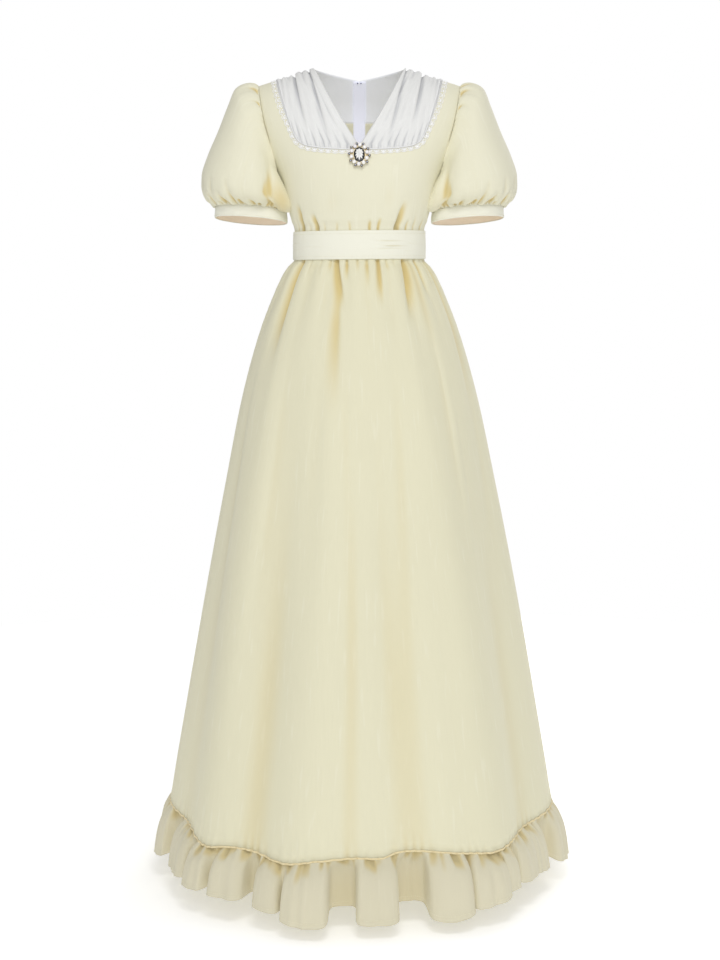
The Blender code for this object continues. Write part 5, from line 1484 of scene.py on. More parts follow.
@dataclass
class Skirt:
    """The gathered A-line skirt: one front panel and two backs that meet under the zip."""

    finishes: Finishes
    thickness: float = 0.0009
    front_columns: int = 330
    back_columns: int = 165
    rows: int = 104
    front_drop: float = 0.008

    def relief(self, angle: Array, z: Array) -> Array:
        """How far gathers, creases and folds stand out, at angles in degrees and heights."""
        relief = np.zeros(np.broadcast(angle, z).shape)
        under = smooth_step(SASH_FOOT_Z, SASH_FOOT_Z - 0.014, z)
        fade = under * (1 - smooth_step(SASH_FOOT_Z - 0.02, -0.600, z)) ** 1.5
        for place, depth in SKIRT_GATHERS:
            relief -= depth * bell(angle_gap(angle, place), GATHER_WIDTH) * fade
        share = np.clip((z - FOLDS_Z) / (FLOUNCE_Z - FOLDS_Z), 0.0, 1.0)
        grow = smooth_step(FOLDS_Z, -1.100, z)
        for fold in SKIRT_FOLDS:
            centre = fold.top_angle + (fold.hem_angle - fold.top_angle) * share
            relief += fold.depth * bell(angle_gap(angle, centre), fold.width) * grow
        down = np.maximum(SASH_FOOT_Z - z, 0.0)
        relief = relief + crease_relief(SKIRT_SOFT, angle, down, True) * smooth_step(0.05, 0.25, down)
        relief = relief + self.waist(angle, z)
        quiet = smooth_step(4.5, 18.0, np.abs(angle_gap(angle, 180.0)))
        return relief * (1 - smooth_step(ZIP_FOOT_Z - 0.15, ZIP_FOOT_Z, z) * (1 - quiet))

    def waist(self, angle: Array, z: Array) -> Array:
        """The relief of the creases that fall from the sash."""
        down = np.maximum(SASH_FOOT_Z - z, 0.0)
        return crease_relief(WAIST_CREASES, angle, down, True) * smooth_step(-0.002, 0.004, SASH_FOOT_Z - z)

    def wander(self, angle: Array, z: Array) -> Array:
        """How much lower the flounce seam hangs than an even line, fading up the skirt."""
        places = [place for place, _ in SEAM_WANDER]
        drops = hermite(places, [drop for _, drop in SEAM_WANDER], (angle + 90.0) % 360.0 - 90.0)
        return drops * smooth_step(FLOUNCE_Z + 0.260, FLOUNCE_Z, z)

    def seams(self, angle: Array, z: Array) -> Array:
        """The dips and puckers of the side seams and the centre-back seam."""
        width = section_value(SKIRT, "half_width", z)
        total = np.zeros(np.broadcast(angle, z).shape)
        for seam in (-90.0, 90.0, 180.0):
            gap = np.radians(angle_gap(angle, seam)) * width
            total -= 0.0009 * bell(gap, 0.0026)
            total += 0.0004 * np.sin(z / 0.0030 + 2 * np.sin(z / 0.017)) * bell(gap, 0.008)
        foot = z - FLOUNCE_Z
        pucker = 0.0011 * np.sin(np.radians(angle) * 118 + 2.2 * np.sin(np.radians(angle) * 23))
        return total + pucker * smooth_step(0.030, 0.002, foot)

    def surface(self, angle: Array, z: Array) -> Array:
        """The whole relief: the gathers and folds with the seams."""
        return self.relief(angle, z) + self.seams(angle, z)

    def hem_drop(self, angle: Array, z: Array) -> Array:
        """How much lower the front hangs than the back."""
        front = np.clip(np.cos(np.radians(angle)), 0.0, 1.0) ** 2
        return self.front_drop * front * smooth_step(-0.5, HEM_Z, z)

    def outward(self, angle: Array, z: Array, side: Side) -> Array:
        """Level directions out of the skirt."""
        column = "front" if side is Side.FRONT else "back"
        turn = np.radians(angle)
        across = np.sin(turn) / section_value(SKIRT, "half_width", z)
        ahead = -np.cos(turn) / section_value(SKIRT, column, z)
        return unit(np.stack([across, ahead, 0.0 * across], axis=-1))

    def panel(self, start: float, end: float, columns: int, side: Side) -> Panel:
        """A skirt panel between two angles, from the waist to the flounce seam."""
        share = np.linspace(0.0, 1.0, self.rows + 1)
        top, foot = WAIST_Z - SEAM, FLOUNCE_Z
        levels = top + (foot - top) * (0.35 * share + 0.65 * share**1.9)
        angle, z = np.meshgrid(np.linspace(start, end, columns + 1), levels)
        relief = self.surface(angle, z)
        points = ring_point(SKIRT, np.radians(angle), z, side)
        points = points + self.outward(angle, z, side) * relief[..., None]
        points[..., 2] -= self.hem_drop(angle, z) + self.wander(angle, z)
        # The last argument is painted shade: the fold colour in the creases that fall from the sash.
        return Panel(points, relief, False, np.clip(-0.75 * self.waist(angle, z) / 0.0085, 0.0, 0.80))

    def make(self) -> Panel:
        """Makes the three panels and returns the left back one."""
        cloth, reach = self.finishes.cream, ((2, 4), (3, 10))
        front = self.panel(-90.0, 90.0, self.front_columns, Side.FRONT)
        left = self.panel(90.0, 180.0, self.back_columns, Side.BACK).setback(1, (-1,))
        right = self.panel(180.0, 270.0, self.back_columns, Side.BACK).setback(1, (0,))
        Cloth("skirt_front", self.thickness, cloth, "cream_cotton", (1.34, 1.06), "gathered",
              ("sash_cloth",), 1.02, 0.0110, reach).make(front)
        for name, panel in (("left", left), ("right", right)):
            Cloth(f"skirt_back_{name}", self.thickness, cloth, "cream_cotton",
                  (0.67, 1.06), "gathered", ("sash_cloth",), 0.51, 0.0110, reach).make(panel)
        return left


LOBES = rows_of(
    Lobe,
    (-80.0, 4.5, 0.018, -0.018, 0.01), (-61.5, 6.5, 0.021, -0.024, 0.01), (-47.8, 3.6, 0.023, -0.025, 0.01),
    (-36.6, 4.6, 0.025, -0.024, 0.01), (-24.2, 3.6, 0.024, -0.018, 0.01), (-12.6, 5.5, 0.03, -0.004, 0.02),
    (4.4, 5.1, 0.029, -0.006, 0.02), (23.2, 5.4, 0.028, -0.003, 0.02), (35.2, 4.8, 0.022, -0.019, 0.008),
    (43.6, 2.2, 0.02, -0.029, 0.008), (57.0, 8.5, 0.021, -0.026, 0.01), (79.0, 6.0, 0.018, -0.012, 0.01),
    (97.0, 5.0, 0.022, -0.006, 0.012), (112.0, 4.6, 0.024, -0.014, 0.012),
    (126.0, 5.0, 0.027, -0.002, 0.016), (138.5, 3.6, 0.022, -0.014, 0.01),
    (151.0, 5.0, 0.028, -0.002, 0.016), (165.0, 4.4, 0.024, -0.01, 0.012),
    (179.5, 5.2, 0.029, -0.002, 0.018), (193.5, 4.2, 0.023, -0.014, 0.012),
    (206.5, 4.8, 0.027, -0.004, 0.016), (219.0, 3.8, 0.023, -0.018, 0.01),
    (233.0, 5.2, 0.028, -0.006, 0.016), (247.0, 4.2, 0.022, -0.018, 0.012),
    (264.0, 5.6, 0.022, -0.01, 0.012),
)


@dataclass
class Flounce:
    """The gathered flounce at the hem, with the narrow welt of its seam."""

    finishes: Finishes
    skirt: Skirt
    thickness: float = 0.0008
    gap: float = 0.0012
    flank: float = 1.55
    roll: float = 0.0085
    gathers_per_lobe: int = 8
    columns: int = 620
    rows: int = 42
    welt_height: float = 0.0036
    welt_lift: float = 0.0008
    welt_thickness: float = 0.0004

    def wave(self, angle: Array) -> tuple[Array, Array, Array, Array, Array]:
        """The flounce's wave and roll, and its depth, drop and rise, at angles in degrees."""
        boxy, roll = np.full(np.shape(angle), -1.0), np.zeros(np.shape(angle))
        for lobe in LOBES:
            gap = angle_gap(angle, lobe.angle)
            for edge in (-lobe.half_width, lobe.half_width):
                place = (gap - edge) / self.flank
                boxy -= math.copysign(1.0, edge) * np.tanh(place)
                roll -= 1.65 * place * np.exp(-(place**2) / 2)
        table = [LOBES[-1], *LOBES, LOBES[0]]
        centres = np.array([lobe.angle for lobe in table])
        centres[0] -= 360.0
        centres[-1] += 360.0
        wrapped = (angle - centres[0]) % 360.0 + centres[0]
        columns = [np.interp(wrapped, centres, [lobe[k] for lobe in table]) for k in (2, 3, 4)]
        return boxy, roll, *columns

    def gathers(self) -> list[Crease]:
        """Short gathers under the seam, uneven, several to each wave."""
        made = []
        for number, lobe in enumerate(LOBES):
            onward = LOBES[(number + 1) % len(LOBES)].angle - lobe.angle
            onward += 360.0 if onward < 0 else 0.0
            for step in range(self.gathers_per_lobe):
                index = number * self.gathers_per_lobe + step
                at = lobe.angle + onward * (step + uneven(index, 0.1, 0.9)) / self.gathers_per_lobe
                made.append(Crease(
                    at, uneven(index, -1.2, 1.2, 0.29), 0.0, uneven(index, 0.016, 0.056, 0.41),
                    uneven(index, 0.0030, 0.0066), uneven(index, 0.45, 0.85, 0.53),
                    uneven(index, -0.5, 0.5, 0.71)))
        return made

    def panel(self, start: float, end: float, side: Side) -> Panel:
        """A half of the flounce, its waves growing from the seam to the hem."""
        top = FLOUNCE_Z - self.gap
        share = np.linspace(0.0, 1.0, self.rows + 1) ** 1.25
        grow = hermite((0.0, 0.17, 0.50, 1.0), (0.04, 0.52, 0.85, 1.0), share)[:, None]
        angle, z = np.meshgrid(np.linspace(start, end, self.columns + 1), top + (HEM_Z - top) * share)
        wave, roll, depth, drop, rise = self.wave(angle)
        down = (share * (top - HEM_Z))[:, None]
        fine = crease_relief(self.gathers(), angle, down, True) * smooth_step(-0.004, 0.004, down)
        fine = fine + 0.0018 * smooth_step(0.0, 0.012, down)
        turn, level = np.radians(angle), np.full_like(z, FLOUNCE_Z)
        ripple = 0.0016 * np.sin(turn * 53 + 2.5 * np.sin(turn * 9)) * share[:, None]
        relief = depth * wave * grow + fine + ripple
        outward = self.skirt.outward(angle, z, side)
        tangent = np.stack([-outward[..., 1], outward[..., 0], 0.0 * z], axis=-1)
        middle = 0.0 if side is Side.FRONT else 180.0
        inside = smooth_step(0.0, 6.0, 90.0 - np.abs(angle_gap(angle, middle)))
        points = ring_point(SKIRT, turn, z, side)
        points = points + outward * (self.skirt.surface(angle, level) + relief)[..., None]
        points += tangent * (self.roll * roll * grow * inside)[..., None]
        lower = self.skirt.wander(angle, level) * (1 - share[:, None])
        hem = (drop - rise * (0.5 - 0.5 * wave)) * share[:, None]
        points[..., 2] -= self.skirt.hem_drop(angle, z) + lower + hem
        # Painted shade: the fold colour in the troughs between the waves and in the gathers under the seam.
        painted_shade_tint = 0.26 * (0.5 - 0.5 * np.clip(wave, -1.0, 1.0)) * grow - np.minimum(fine, 0.0) / 0.0066
        return Panel(points, relief * 0.4, False, np.clip(painted_shade_tint, 0.0, 0.9))

    def welt(self) -> Panel:
        """The narrow welt that covers the flounce seam, with its own puckers."""
        angle, row = np.meshgrid(np.linspace(-90.0, 270.0, 900, endpoint=False), np.arange(7))
        share = row / 6.0
        z = FLOUNCE_Z + self.welt_height * (0.45 - share)
        lift = self.welt_lift * np.sin(math.pi * share) ** 0.6 + 0.0004
        turn, level = np.radians(angle), np.full_like(z, FLOUNCE_Z)
        lift += 0.0006 * np.sin(turn * 201 + 2 * np.sin(turn * 31)) * np.sin(math.pi * share)
        behind = np.abs(angle_gap(angle, 0.0)) > 90.0
        points, outward = (
            np.where(behind[..., None], make(Side.BACK), make(Side.FRONT))
            for make in (lambda s: ring_point(SKIRT, turn, z, s), lambda s: self.skirt.outward(angle, z, s)))
        points = points + outward * (self.skirt.surface(angle, level) + lift)[..., None]
        points[..., 2] -= self.skirt.hem_drop(angle, z) + self.skirt.wander(angle, level)
        return Panel(points, lift, True)

    def make(self) -> list[Panel]:
        """Makes both halves and the welt and returns the halves."""
        cloth, reach = self.finishes.flounce, ((2, 3), (3, 6))
        panels = [self.panel(-90.0, 90.0, Side.FRONT), self.panel(90.0, 270.0, Side.BACK)]
        held_by = ("skirt_front_cloth", "skirt_back_left_cloth")
        for name, above, panel in zip(("front", "back"), held_by, panels):
            Cloth(f"flounce_{name}", self.thickness, cloth, "cream_cotton", (1.50, 0.120), "gathered",
                  (above,), None, 0.0110, reach).make(panel)
        welt = self.welt()
        # The welt's fold colour is painted shade in its puckers.
        item = grid_object("flounce_welt", welt, welt.painted_shade_shares(((1, 2),), 0.0015), self.finishes.welt)
        thicken(item, self.welt_thickness)
        sew_in(item)
        return panels


@dataclass
class Lace:
    """The narrow scalloped lace beside the front yoke seam, worked in threads."""

    finishes: Finishes
    bodice: Bodice
    repeat: float = 0.0123
    wide_side: Span = (-0.0052, 0.0098)
    wide_foot: Span = (-0.0016, 0.0076)
    thread: float = 0.00045
    lift: float = 0.0013
    petal: tuple[float, float, float] = (0.0021, 0.0010, 0.0006)

    def __post_init__(self) -> None:
        """Measures the yoke seam that the lace follows."""
        pairs = Figure.along(Figure.yoke_seam(Side.FRONT), np.linspace(0.0, 1.0, 601), Side.FRONT)
        self.line = Figure.point(*pairs.T, Side.FRONT)
        self.lengths = lengths_along(self.line)
        self.onward = unit(np.gradient(self.line, axis=0))
        step = 0.0008
        x, z = self.line[:, 0], self.line[:, 2]
        wide = Figure.at(x + step, z, Side.FRONT) - Figure.at(x - step, z, Side.FRONT)
        tall = Figure.at(x, z, Side.FRONT) - Figure.at(x, z - step, Side.FRONT)
        self.out = unit(np.cross(wide, tall))
        self.away = unit(np.cross(self.out, self.onward))

    def place(self, along: Array, reach: Array, lift: float) -> tuple[Array, Array]:
        """Places on the bodice beside the seam.

        Args:
            along: Lengths along the seam from the shoulder.
            reach: Distances from the seam, away from the yoke.
            lift: Height over the cloth.

        Returns:
            The points, and the cloth's normals there.
        """
        seam, away, out = (
            read_along(values, self.lengths, along) for values in (self.line, self.away, self.out))
        flat = seam + unit(away) * np.asarray(reach)[..., None]
        over = np.minimum(flat[:, 2], Figure.ridge(flat[:, 0]) - 0.0004)
        points = Figure.at(flat[:, 0], over, Side.FRONT)
        height = lift + 0.0012 * smooth_step(0.0, -0.0040, np.asarray(reach))
        return points + unit(out) * np.broadcast_to(height, along.shape)[..., None], unit(out)

    def across(self, along: Array, share: Array) -> Array:
        """Distances from the seam at shares of the lace's width, from its heading to its points."""
        change = smooth_step(0.09, 0.15, along)
        inner, outer = (self.wide_side[k] + (self.wide_foot[k] - self.wide_side[k]) * change for k in (0, 1))
        return inner + (outer - inner) * share

    def scallop(self, along: Array) -> Array:
        """The share of the width that the scalloped edge reaches."""
        return 0.66 + 0.34 * np.abs(np.sin(math.pi * along / self.repeat)) ** 0.55

    def threads(self, bits: Bits) -> None:
        """Works the heading, its net and the scalloped cord on both halves."""
        end = self.lengths[-1]
        fine = np.linspace(0.001, end, int(end / 0.0008))
        zigzag = np.linspace(0.001, end, int(end / 0.0012))
        paths = [
            (fine, np.full_like(fine, 0.03), 1.2),
            (fine, np.full_like(fine, 0.36), 1.0),
            (fine, self.scallop(fine), 1.5),
            (zigzag, 0.03 + 0.33 * (np.arange(len(zigzag)) % 2), 0.8),
        ]
        for along, share, size in paths:
            points, out = self.place(along, self.across(along, share), self.lift)
            for sign in (1.0, -1.0):
                flip = np.array([sign, 1.0, 1.0])
                bits.tube(points * flip, out * flip, self.thread * size)

    def petals(self, bits: Bits) -> None:
        """Works a spray of petals inside every scallop."""
        number = int(self.lengths[-1] / self.repeat)
        for index in range(number):
            middle = (index + 0.5) * self.repeat
            for lean, share, length in ((-0.0036, 0.50, 0.9), (-0.0019, 0.68, 1.0), (0.0, 0.76, 1.15),
                                        (0.0019, 0.68, 1.0), (0.0036, 0.50, 0.9), (0.0, 0.48, 0.6)):
                along = np.array([middle + lean * 0.7, middle + lean])
                reach = self.across(along, np.array([share - 0.12, share]))
                points, out = self.place(along, reach, self.lift)
                onward = unit(points[1] - points[0])
                axes = np.array([onward, np.cross(out[1], onward), out[1]])
                radii = np.array(self.petal) * np.array([length, 1.0, 1.0])
                for sign in (1.0, -1.0):
                    flip = np.array([sign, 1.0, 1.0])
                    turned = axes * flip if sign > 0 else (axes * flip)[[1, 0, 2]]
                    bits.bead(points[1] * flip, radii if sign > 0 else radii[[1, 0, 2]], turned, 5, 8)

    def make(self) -> None:
        """Makes the lace on both halves as one mesh."""
        bits = Bits()
        self.threads(bits)
        self.petals(bits)
        item = bits.object("lace_front_threads", self.finishes.lace)
        sew_in(item, ("lace_front",))


@dataclass
class Zip:
    """The concealed zip at the centre back: tape, coil and top stops round the kept slider."""

    finishes: Finishes
    half_width: float = 0.011
    gap: float = 0.0016
    pitch: float = 0.0015

    def line(self, panels: Sequence[Panel]) -> Array:
        """The centre-back edge from the neck down to the foot of the zip."""
        edges = [panel.points[:, -1] for panel in panels]
        line = np.concatenate(edges)
        line = line[np.isfinite(line[:, 0]) & (line[:, 2] > ZIP_FOOT_Z - SEAM)]
        line[:, 0] = 0.0
        line = line[np.argsort(-line[:, 2])]
        return resampled(line, 150)

    def make(self, panels: Sequence[Panel]) -> None:
        """Makes the tape and its coil behind the panels' edges and dresses the slider."""
        line = self.line(panels)
        steps = np.gradient(line, axis=0)
        out = unit(np.stack([0.0 * line[:, 0], -steps[:, 2], steps[:, 1]], axis=-1))
        inner = line - out * self.gap
        across = np.linspace(self.half_width, -self.half_width, 13)
        points = inner[:, None] + ACROSS * across[None, :, None]
        ribs = 0.00025 * np.cos(across / self.half_width * math.pi * 3)[None, :] * np.ones((len(line), 1))
        panel = Panel(points, 0.0 * ribs).raised(-np.abs(ribs))
        Cloth("zip_tape", 0.0006, self.finishes.tape, "zip_tape", (0.024, 0.55), "stretched",
              ("bodice_back_left_cloth",)).make(panel)
        bits = Bits()
        lengths = lengths_along(inner)
        for place in np.arange(0.004, lengths[-1] - 0.002, self.pitch):
            normal = unit(read_along(out, lengths, place))
            centre = read_along(inner, lengths, place) + normal * 0.0007
            axes = np.array([ACROSS, np.cross(normal, ACROSS), normal])
            bits.bead(centre, np.array([0.0022, 0.00055, 0.0007]), axes, 4, 6)
        sew_in(bits.object("zip_coil", self.finishes.coil))
        stops = Bits()
        axes = np.array([ACROSS, np.cross(out[1], ACROSS), out[1]])
        for x in (-0.0030, 0.0030):
            centre = inner[0] - out[1] * 0.0016 + np.array([x, 0.0, -0.0022])
            stops.bead(centre, np.array([0.0011, 0.0016, 0.0009]), axes, 6, 8)
        sew_in(stops.object("zip_top_stops", self.finishes.steel))
        for node in ("zip_slider", "zip_pull"):
            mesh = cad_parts[node].data
            mesh.materials.clear()
            mesh.materials.append(self.finishes.enamel)
            LOG.info("%s: enamelled", node)


@dataclass
class Brooch:
    """The oval brooch at the foot of the V: gold plate, pearls, navy stones and a flower."""

    finishes: Finishes
    z: float = -0.1628
    stand: float = 0.0020
    plate: Span = (0.0164, 0.0192)
    plate_thick: float = 0.0018
    oval: Span = (0.0100, 0.0136)
    rise: float = 0.0022
    pearl_orbit: Span = (0.0140, 0.0171)
    pearl: float = 0.0036
    stone_orbit: Span = (0.0178, 0.0205)
    stone: float = 0.0025
    first_stone: float = 0.61
    count: int = 10
    waves: int = 20

    def frame(self) -> Array:
        """The axes of the brooch as rows, and its seat: across, up and out of the cloth."""
        centre, high, low = (
            Figure.at(np.array(0.0), np.array(self.z + step), Side.FRONT) for step in (0.0, 0.004, -0.004))
        up = unit(high - low)
        out = np.cross(ACROSS, up)
        return np.array([ACROSS, up, out, centre + out * self.stand])

    def put(self, points: Array) -> Array:
        """Moves points from the brooch's own axes to the gown."""
        axes = self.frame()
        return points @ axes[:3] + axes[3]

    def orbit(self, halves: Span, turn: Array, height: float) -> Array:
        """Points of an oval at turns from its top."""
        across, up = halves[0] * np.sin(turn), halves[1] * np.cos(turn)
        return np.stack([across, up, np.full_like(turn, height)], axis=-1)

    def dish(self, bits: Bits, halves: Span, profile: Sequence[Span], ripple: float = 0.0) -> None:
        """Adds a turned oval form from (share of the radius, height) pairs, outside to inside."""
        turn = full_turn(80)
        rings = []
        for share, height in profile:
            edge = 1.0 + ripple * np.cos(self.waves * turn) * share
            ring = self.orbit((halves[0] * share, halves[1] * share), turn, height)
            rings.append(ring * np.stack([edge, edge, np.ones_like(edge)], axis=-1))
        bits.loft(self.put(np.array(rings)))

    def rope(self, bits: Bits, halves: Span, height: float, radius: float, strands: int) -> None:
        """Adds a twisted oval rim."""
        turn = np.linspace(0.0, 2 * math.pi, 144, endpoint=False)
        line = self.orbit(halves, turn, height)
        onward = unit(np.roll(line, -1, axis=0) - np.roll(line, 1, axis=0))
        up = np.broadcast_to(np.array([0.0, 0.0, 1.0]), line.shape)
        across = np.cross(onward, up)
        around = full_turn(8)
        size = radius * (1.0 + 0.22 * np.cos(strands * turn[:, None] + 2 * around[None]))
        rings = line[:, None] + size[..., None] * (
            np.cos(around)[None, :, None] * up[:, None] + np.sin(around)[None, :, None] * across[:, None])
        bits.loft(self.put(np.concatenate([rings, rings[:1]])), caps=False)

    def petal(self, bits: Bits, centre: Array, turn: float, length: float, width: float, cup: float) -> None:
        """Adds a cupped petal or leaf as a closed thin form, pointing away at a turn."""
        s = np.linspace(0.0, 1.0, 9)
        outline = width * np.sin(math.pi * s**0.75) ** 0.8
        sides = np.linspace(-1.0, 1.0, 7)
        top = np.stack(np.broadcast_arrays(
            sides[None] * outline[:, None], s[:, None] * length,
            cup * (0.5 + 0.5 * sides[None] ** 2) * np.sin(math.pi * s[:, None] * 0.8) + 0.0003), axis=-1)
        under = top[:, ::-1] - np.array([0.0, 0.0, 0.0007])
        rings = np.concatenate([top, under], axis=1)
        sine, cosine = math.sin(turn), math.cos(turn)
        spin = np.array([[cosine, -sine, 0.0], [sine, cosine, 0.0], [0.0, 0.0, 1.0]])
        placed = (rings @ spin + centre)[::-1]
        placed[..., 2] += self.dome(placed)
        bits.loft(self.put(placed))

    def dome(self, places: Array) -> Array:
        """The height of the black oval's dome at places on the brooch."""
        away = (places[..., 0] / self.oval[0]) ** 2 + (places[..., 1] / self.oval[1]) ** 2
        return self.rise * np.sqrt(np.clip(1.0 - away, 0.0, 1.0))

    def setting(self) -> Bits:
        """The gold plate, its rope rims, its edge loops and the cups of the pearls."""
        bits, thick = Bits(), self.plate_thick
        profile = ((0.002, 0.0), (0.96, 0.0), (1.0, 0.0006), (0.97, thick),
                   (0.6, thick + 0.0003), (0.002, thick + 0.0004))
        self.dish(bits, self.plate, profile, 0.012)
        self.rope(bits, (self.oval[0] + 0.0003, self.oval[1] + 0.0003), thick + 0.0009, 0.0007, 48)
        self.rope(bits, (self.plate[0] - 0.0004, self.plate[1] - 0.0004), thick * 0.6, 0.0006, 64)
        for orbit, offset, size in (
                (self.pearl_orbit, self.first_stone - 0.5, self.pearl * 0.7),
                (self.stone_orbit, self.first_stone, self.stone)):
            for index in range(self.count):
                turn = np.array([2 * math.pi * (index + offset) / self.count])
                centre = self.orbit(orbit, turn, thick + 0.0005)[0]
                around = full_turn(14)
                cup = centre + size * np.stack([np.cos(around), np.sin(around), 0.0 * around], axis=-1)
                bits.tube(self.put(cup), np.broadcast_to(self.frame()[2], cup.shape), 0.0004, 6, True)
        return bits

    def flower(self) -> Bits:
        """A raised rosette with leaves that fills most of the oval."""
        bits, base = Bits(), self.plate_thick + 0.0012
        heart = np.array([0.0, 0.0034, base])
        for layer, (number, length, width, cup, lift) in enumerate((
                (8, 0.0072, 0.0026, 0.0008, 0.0), (7, 0.0052, 0.0021, 0.0011, 0.0006),
                (5, 0.0032, 0.0014, 0.0012, 0.0012))):
            for index in range(number):
                turn = 2 * math.pi * (index + 0.5 * (layer % 2)) / number
                self.petal(bits, heart + np.array([0.0, 0.0, lift]), turn, length, width, cup)
        leaves = ((2.30, 0.0092), (math.pi, 0.0142), (-2.30, 0.0092), (2.72, 0.0128), (-2.72, 0.0128))
        for turn, length in leaves:
            self.petal(bits, heart - np.array([0.0, 0.0, 0.0002]), turn, length, 0.0019, 0.0005)
        axes = self.frame()[:3]
        for index in range(7):
            turn = 2 * math.pi * index / 6
            reach = 0.0 if index == 6 else 0.0009
            height = 0.0022 + self.rise * 0.9
            centre = heart + np.array([reach * math.cos(turn), reach * math.sin(turn), height])
            bits.bead(self.put(centre), np.full(3, 0.0005), axes, 5, 8)
        return bits

    def make(self) -> None:
        """Makes the setting, pearls, stones, black oval and flower."""
        axes, thick = self.frame()[:3], self.plate_thick
        setting = self.setting().object("brooch_gold_setting", self.finishes.gold)
        sew_in(setting, ("brooch_setting",))
        pearls, stones, oval = Bits(), Bits(), Bits()
        for index in range(self.count):
            turn = np.array([2 * math.pi * (index + self.first_stone - 0.5) / self.count])
            centre = self.orbit(self.pearl_orbit, turn, thick + self.pearl * 0.72)[0]
            pearls.bead(self.put(centre), np.full(3, self.pearl), axes, 12, 20)
            turn = np.array([2 * math.pi * (index + self.first_stone) / self.count])
            centre = self.orbit(self.stone_orbit, turn, thick)[0]
            rings = []
            for share, height in ((0.9, 0.0), (1.0, 0.0012), (0.78, 0.0022), (0.45, 0.0026)):
                around = full_turn(8) + (0.39 if height == 0.0022 else 0.0)
                rings.append(centre + np.stack([
                    self.stone * share * np.cos(around), self.stone * share * np.sin(around),
                    np.full(8, height)], axis=-1))
            stones.loft(self.put(np.array(rings))[:, ::-1])
        sew_in(pearls.object("brooch_pearls", self.finishes.pearl))
        sew_in(stones.object("brooch_stones", self.finishes.stone, smooth=False))
        dome = [(1.0, thick + 0.0002), (1.0, thick + 0.0009)]
        dome += [(math.cos(a), thick + 0.0009 + self.rise * math.sin(a)) for a in np.linspace(0.2, 1.54, 7)]
        self.dish(oval, self.oval, dome)
        sew_in(oval.object("brooch_black_oval", self.finishes.black), ("brooch_cameo",))
        sew_in(self.flower().object("brooch_flower", self.finishes.relief))


@dataclass
class Sewing:
    """The visible rows of stitches."""

    finishes: Finishes
    stitches: Stitches = Stitches()
    stand: float = 0.0001

    def rows(self, bits: Bits, panel: Panel, lines: Sequence[int]) -> None:
        """Sews along some rows of a panel's grid."""
        normals = panel.normals()
        for line in lines:
            points, out = panel.wide(panel.points)[line], panel.wide(normals)[line]
            self.stitches.row(bits, points + out * self.stand, out)

    def column(self, bits: Bits, panel: Panel, line: int, low: float) -> None:
        """Sews down one column of a panel's grid as far as a height."""
        points, out = panel.points[:, line], panel.normals()[:, line]
        kept = np.isfinite(points[:, 0]) & (points[:, 2] > low)
        self.stitches.row(bits, points[kept] + out[kept] * self.stand, out[kept])

    def make(self, sash: Panel, cuffs: Sequence[Panel], flounces: Sequence[Panel],
             backs: Sequence[Panel]) -> None:
        """Sews the sash, the bands, the hem and both sides of the zip."""
        trims, hems = Bits(), Bits()
        self.rows(trims, sash, (6, -7))
        for cuff in cuffs:
            self.rows(trims, cuff, (4, -5))
        for panel in backs:
            for line, piece in ((-5, panel), (4, panel.mirrored())):
                self.column(trims, piece, line, ZIP_FOOT_Z)
        for panel in flounces:
            self.rows(hems, panel, (-4,))
        sew_in(trims.object("stitches_sash_bands_zip", self.finishes.thread))
        sew_in(hems.object("stitches_hem", self.finishes.thread))


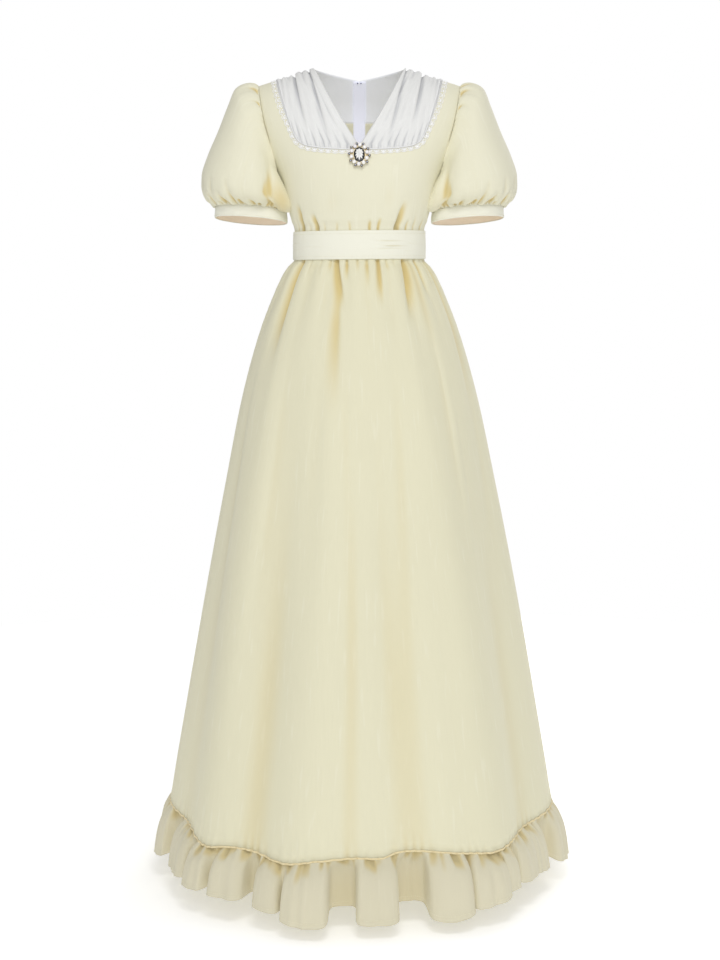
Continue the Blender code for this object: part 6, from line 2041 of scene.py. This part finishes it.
@dataclass
class Studio:
    """The plain pale floor, the soft light and the camera at the photograph's angle."""

    floor_z: float = -1.4830
    lens: float = 68.06
    camera: tuple[float, float, float] = (0.00125, -3.35, -0.3718)
    pitch: float = 6.444
    fill: float = 0.49
    floor_radius: float = 2.6
    floor_glow: float = 0.36

    def make(self) -> None:
        """Builds the studio."""
        scene = bpy.context.scene
        scene.view_settings.view_transform = "Standard"
        scene.view_settings.look = "None"
        data = bpy.data.cameras.new("camera")
        data.lens = self.lens
        data.sensor_width = 36.0
        data.clip_end = 100.0
        camera = in_scene("camera", data)
        camera.location = self.camera
        camera.rotation_euler = (math.radians(90.0 - self.pitch), 0.0, 0.0)
        scene.camera = camera
        self.sky(scene)
        self.lamp("key_light", (0.25, -4.4, 0.7), 2.2, 34.0)
        self.lamp("top_light", (0.1, -1.9, 1.1), 0.8, 17.0)
        self.lamp("back_light", (1.8, 3.4, 1.2), 2.6, 60.0)
        self.floor()

    def sky(self, scene: bpy.types.Scene) -> None:
        """An even white surround."""
        world = bpy.data.worlds.new("surround")
        world.use_nodes = True
        tree = world.node_tree
        ground = tree.nodes["Background"]
        ground.inputs["Color"].default_value = (1.0, 1.0, 1.0, 1.0)
        ground.inputs["Strength"].default_value = self.fill
        seen = tree.nodes.new("ShaderNodeBackground")
        seen.inputs["Color"].default_value = (1.0, 1.0, 1.0, 1.0)
        path = tree.nodes.new("ShaderNodeLightPath")
        both = tree.nodes.new("ShaderNodeMixShader")
        tree.links.new(path.outputs["Is Camera Ray"], both.inputs[0])
        tree.links.new(ground.outputs[0], both.inputs[1])
        tree.links.new(seen.outputs[0], both.inputs[2])
        tree.links.new(both.outputs[0], tree.nodes["World Output"].inputs[0])
        scene.world = world

    def lamp(self, name: str, place: tuple[float, float, float], size: float, power: float) -> None:
        """A large soft lamp that faces the middle of the gown."""
        data = bpy.data.lights.new(name, "AREA")
        data.size = size
        data.energy = power
        lamp = in_scene(name, data)
        lamp.location = place
        aim = Vector((0.0, 0.0, -0.6)) - Vector(place)
        lamp.rotation_euler = aim.to_track_quat("-Z", "Y").to_euler()

    def floor(self) -> None:
        """A round pale floor just below the hem."""
        mesh = bpy.data.meshes.new("floor")
        turn = full_turn(96)
        rim = self.floor_radius * np.stack([np.cos(turn), np.sin(turn), 0.0 * turn], axis=-1)
        mesh.from_pydata(rim.tolist(), [], [tuple(range(96))])
        shader = Shader("pale_floor", Specular_IOR_Level=0.1, Emission_Color=(1.0, 1.0, 1.0, 1.0),
                        Emission_Strength=self.floor_glow)
        clouds = shader.noise(shader.space(), 0.8)
        shader.colour(shader.mix(clouds, tone((252, 252, 252)), tone((249, 249, 249))))
        shader.roughness(clouds, 0.85, 0.95)
        mesh.materials.append(shader.material)
        floor = in_scene("floor", mesh)
        floor.location.z = self.floor_z


def main() -> None:
    """Builds and dresses every piece of the gown, then the studio."""
    logging.basicConfig(level=logging.INFO, format="%(name)s: %(message)s")
    finishes = Finishes()
    bodice = Bodice(finishes)
    bodice_back = bodice.make()
    yoke_back = Yoke(finishes, bodice).make()
    cuffs = Sleeves(finishes, bodice).make()
    sash = Sash(finishes).make()
    skirt = Skirt(finishes)
    skirt_left = skirt.make()
    flounces = Flounce(finishes, skirt).make()
    Lace(finishes, bodice).make()
    backs = (yoke_back, bodice_back, skirt_left)
    Zip(finishes).make(backs)
    Brooch(finishes).make()
    Sewing(finishes).make(sash, cuffs, flounces, backs)
    Studio().make()


if __name__ == "__main__":
    main()
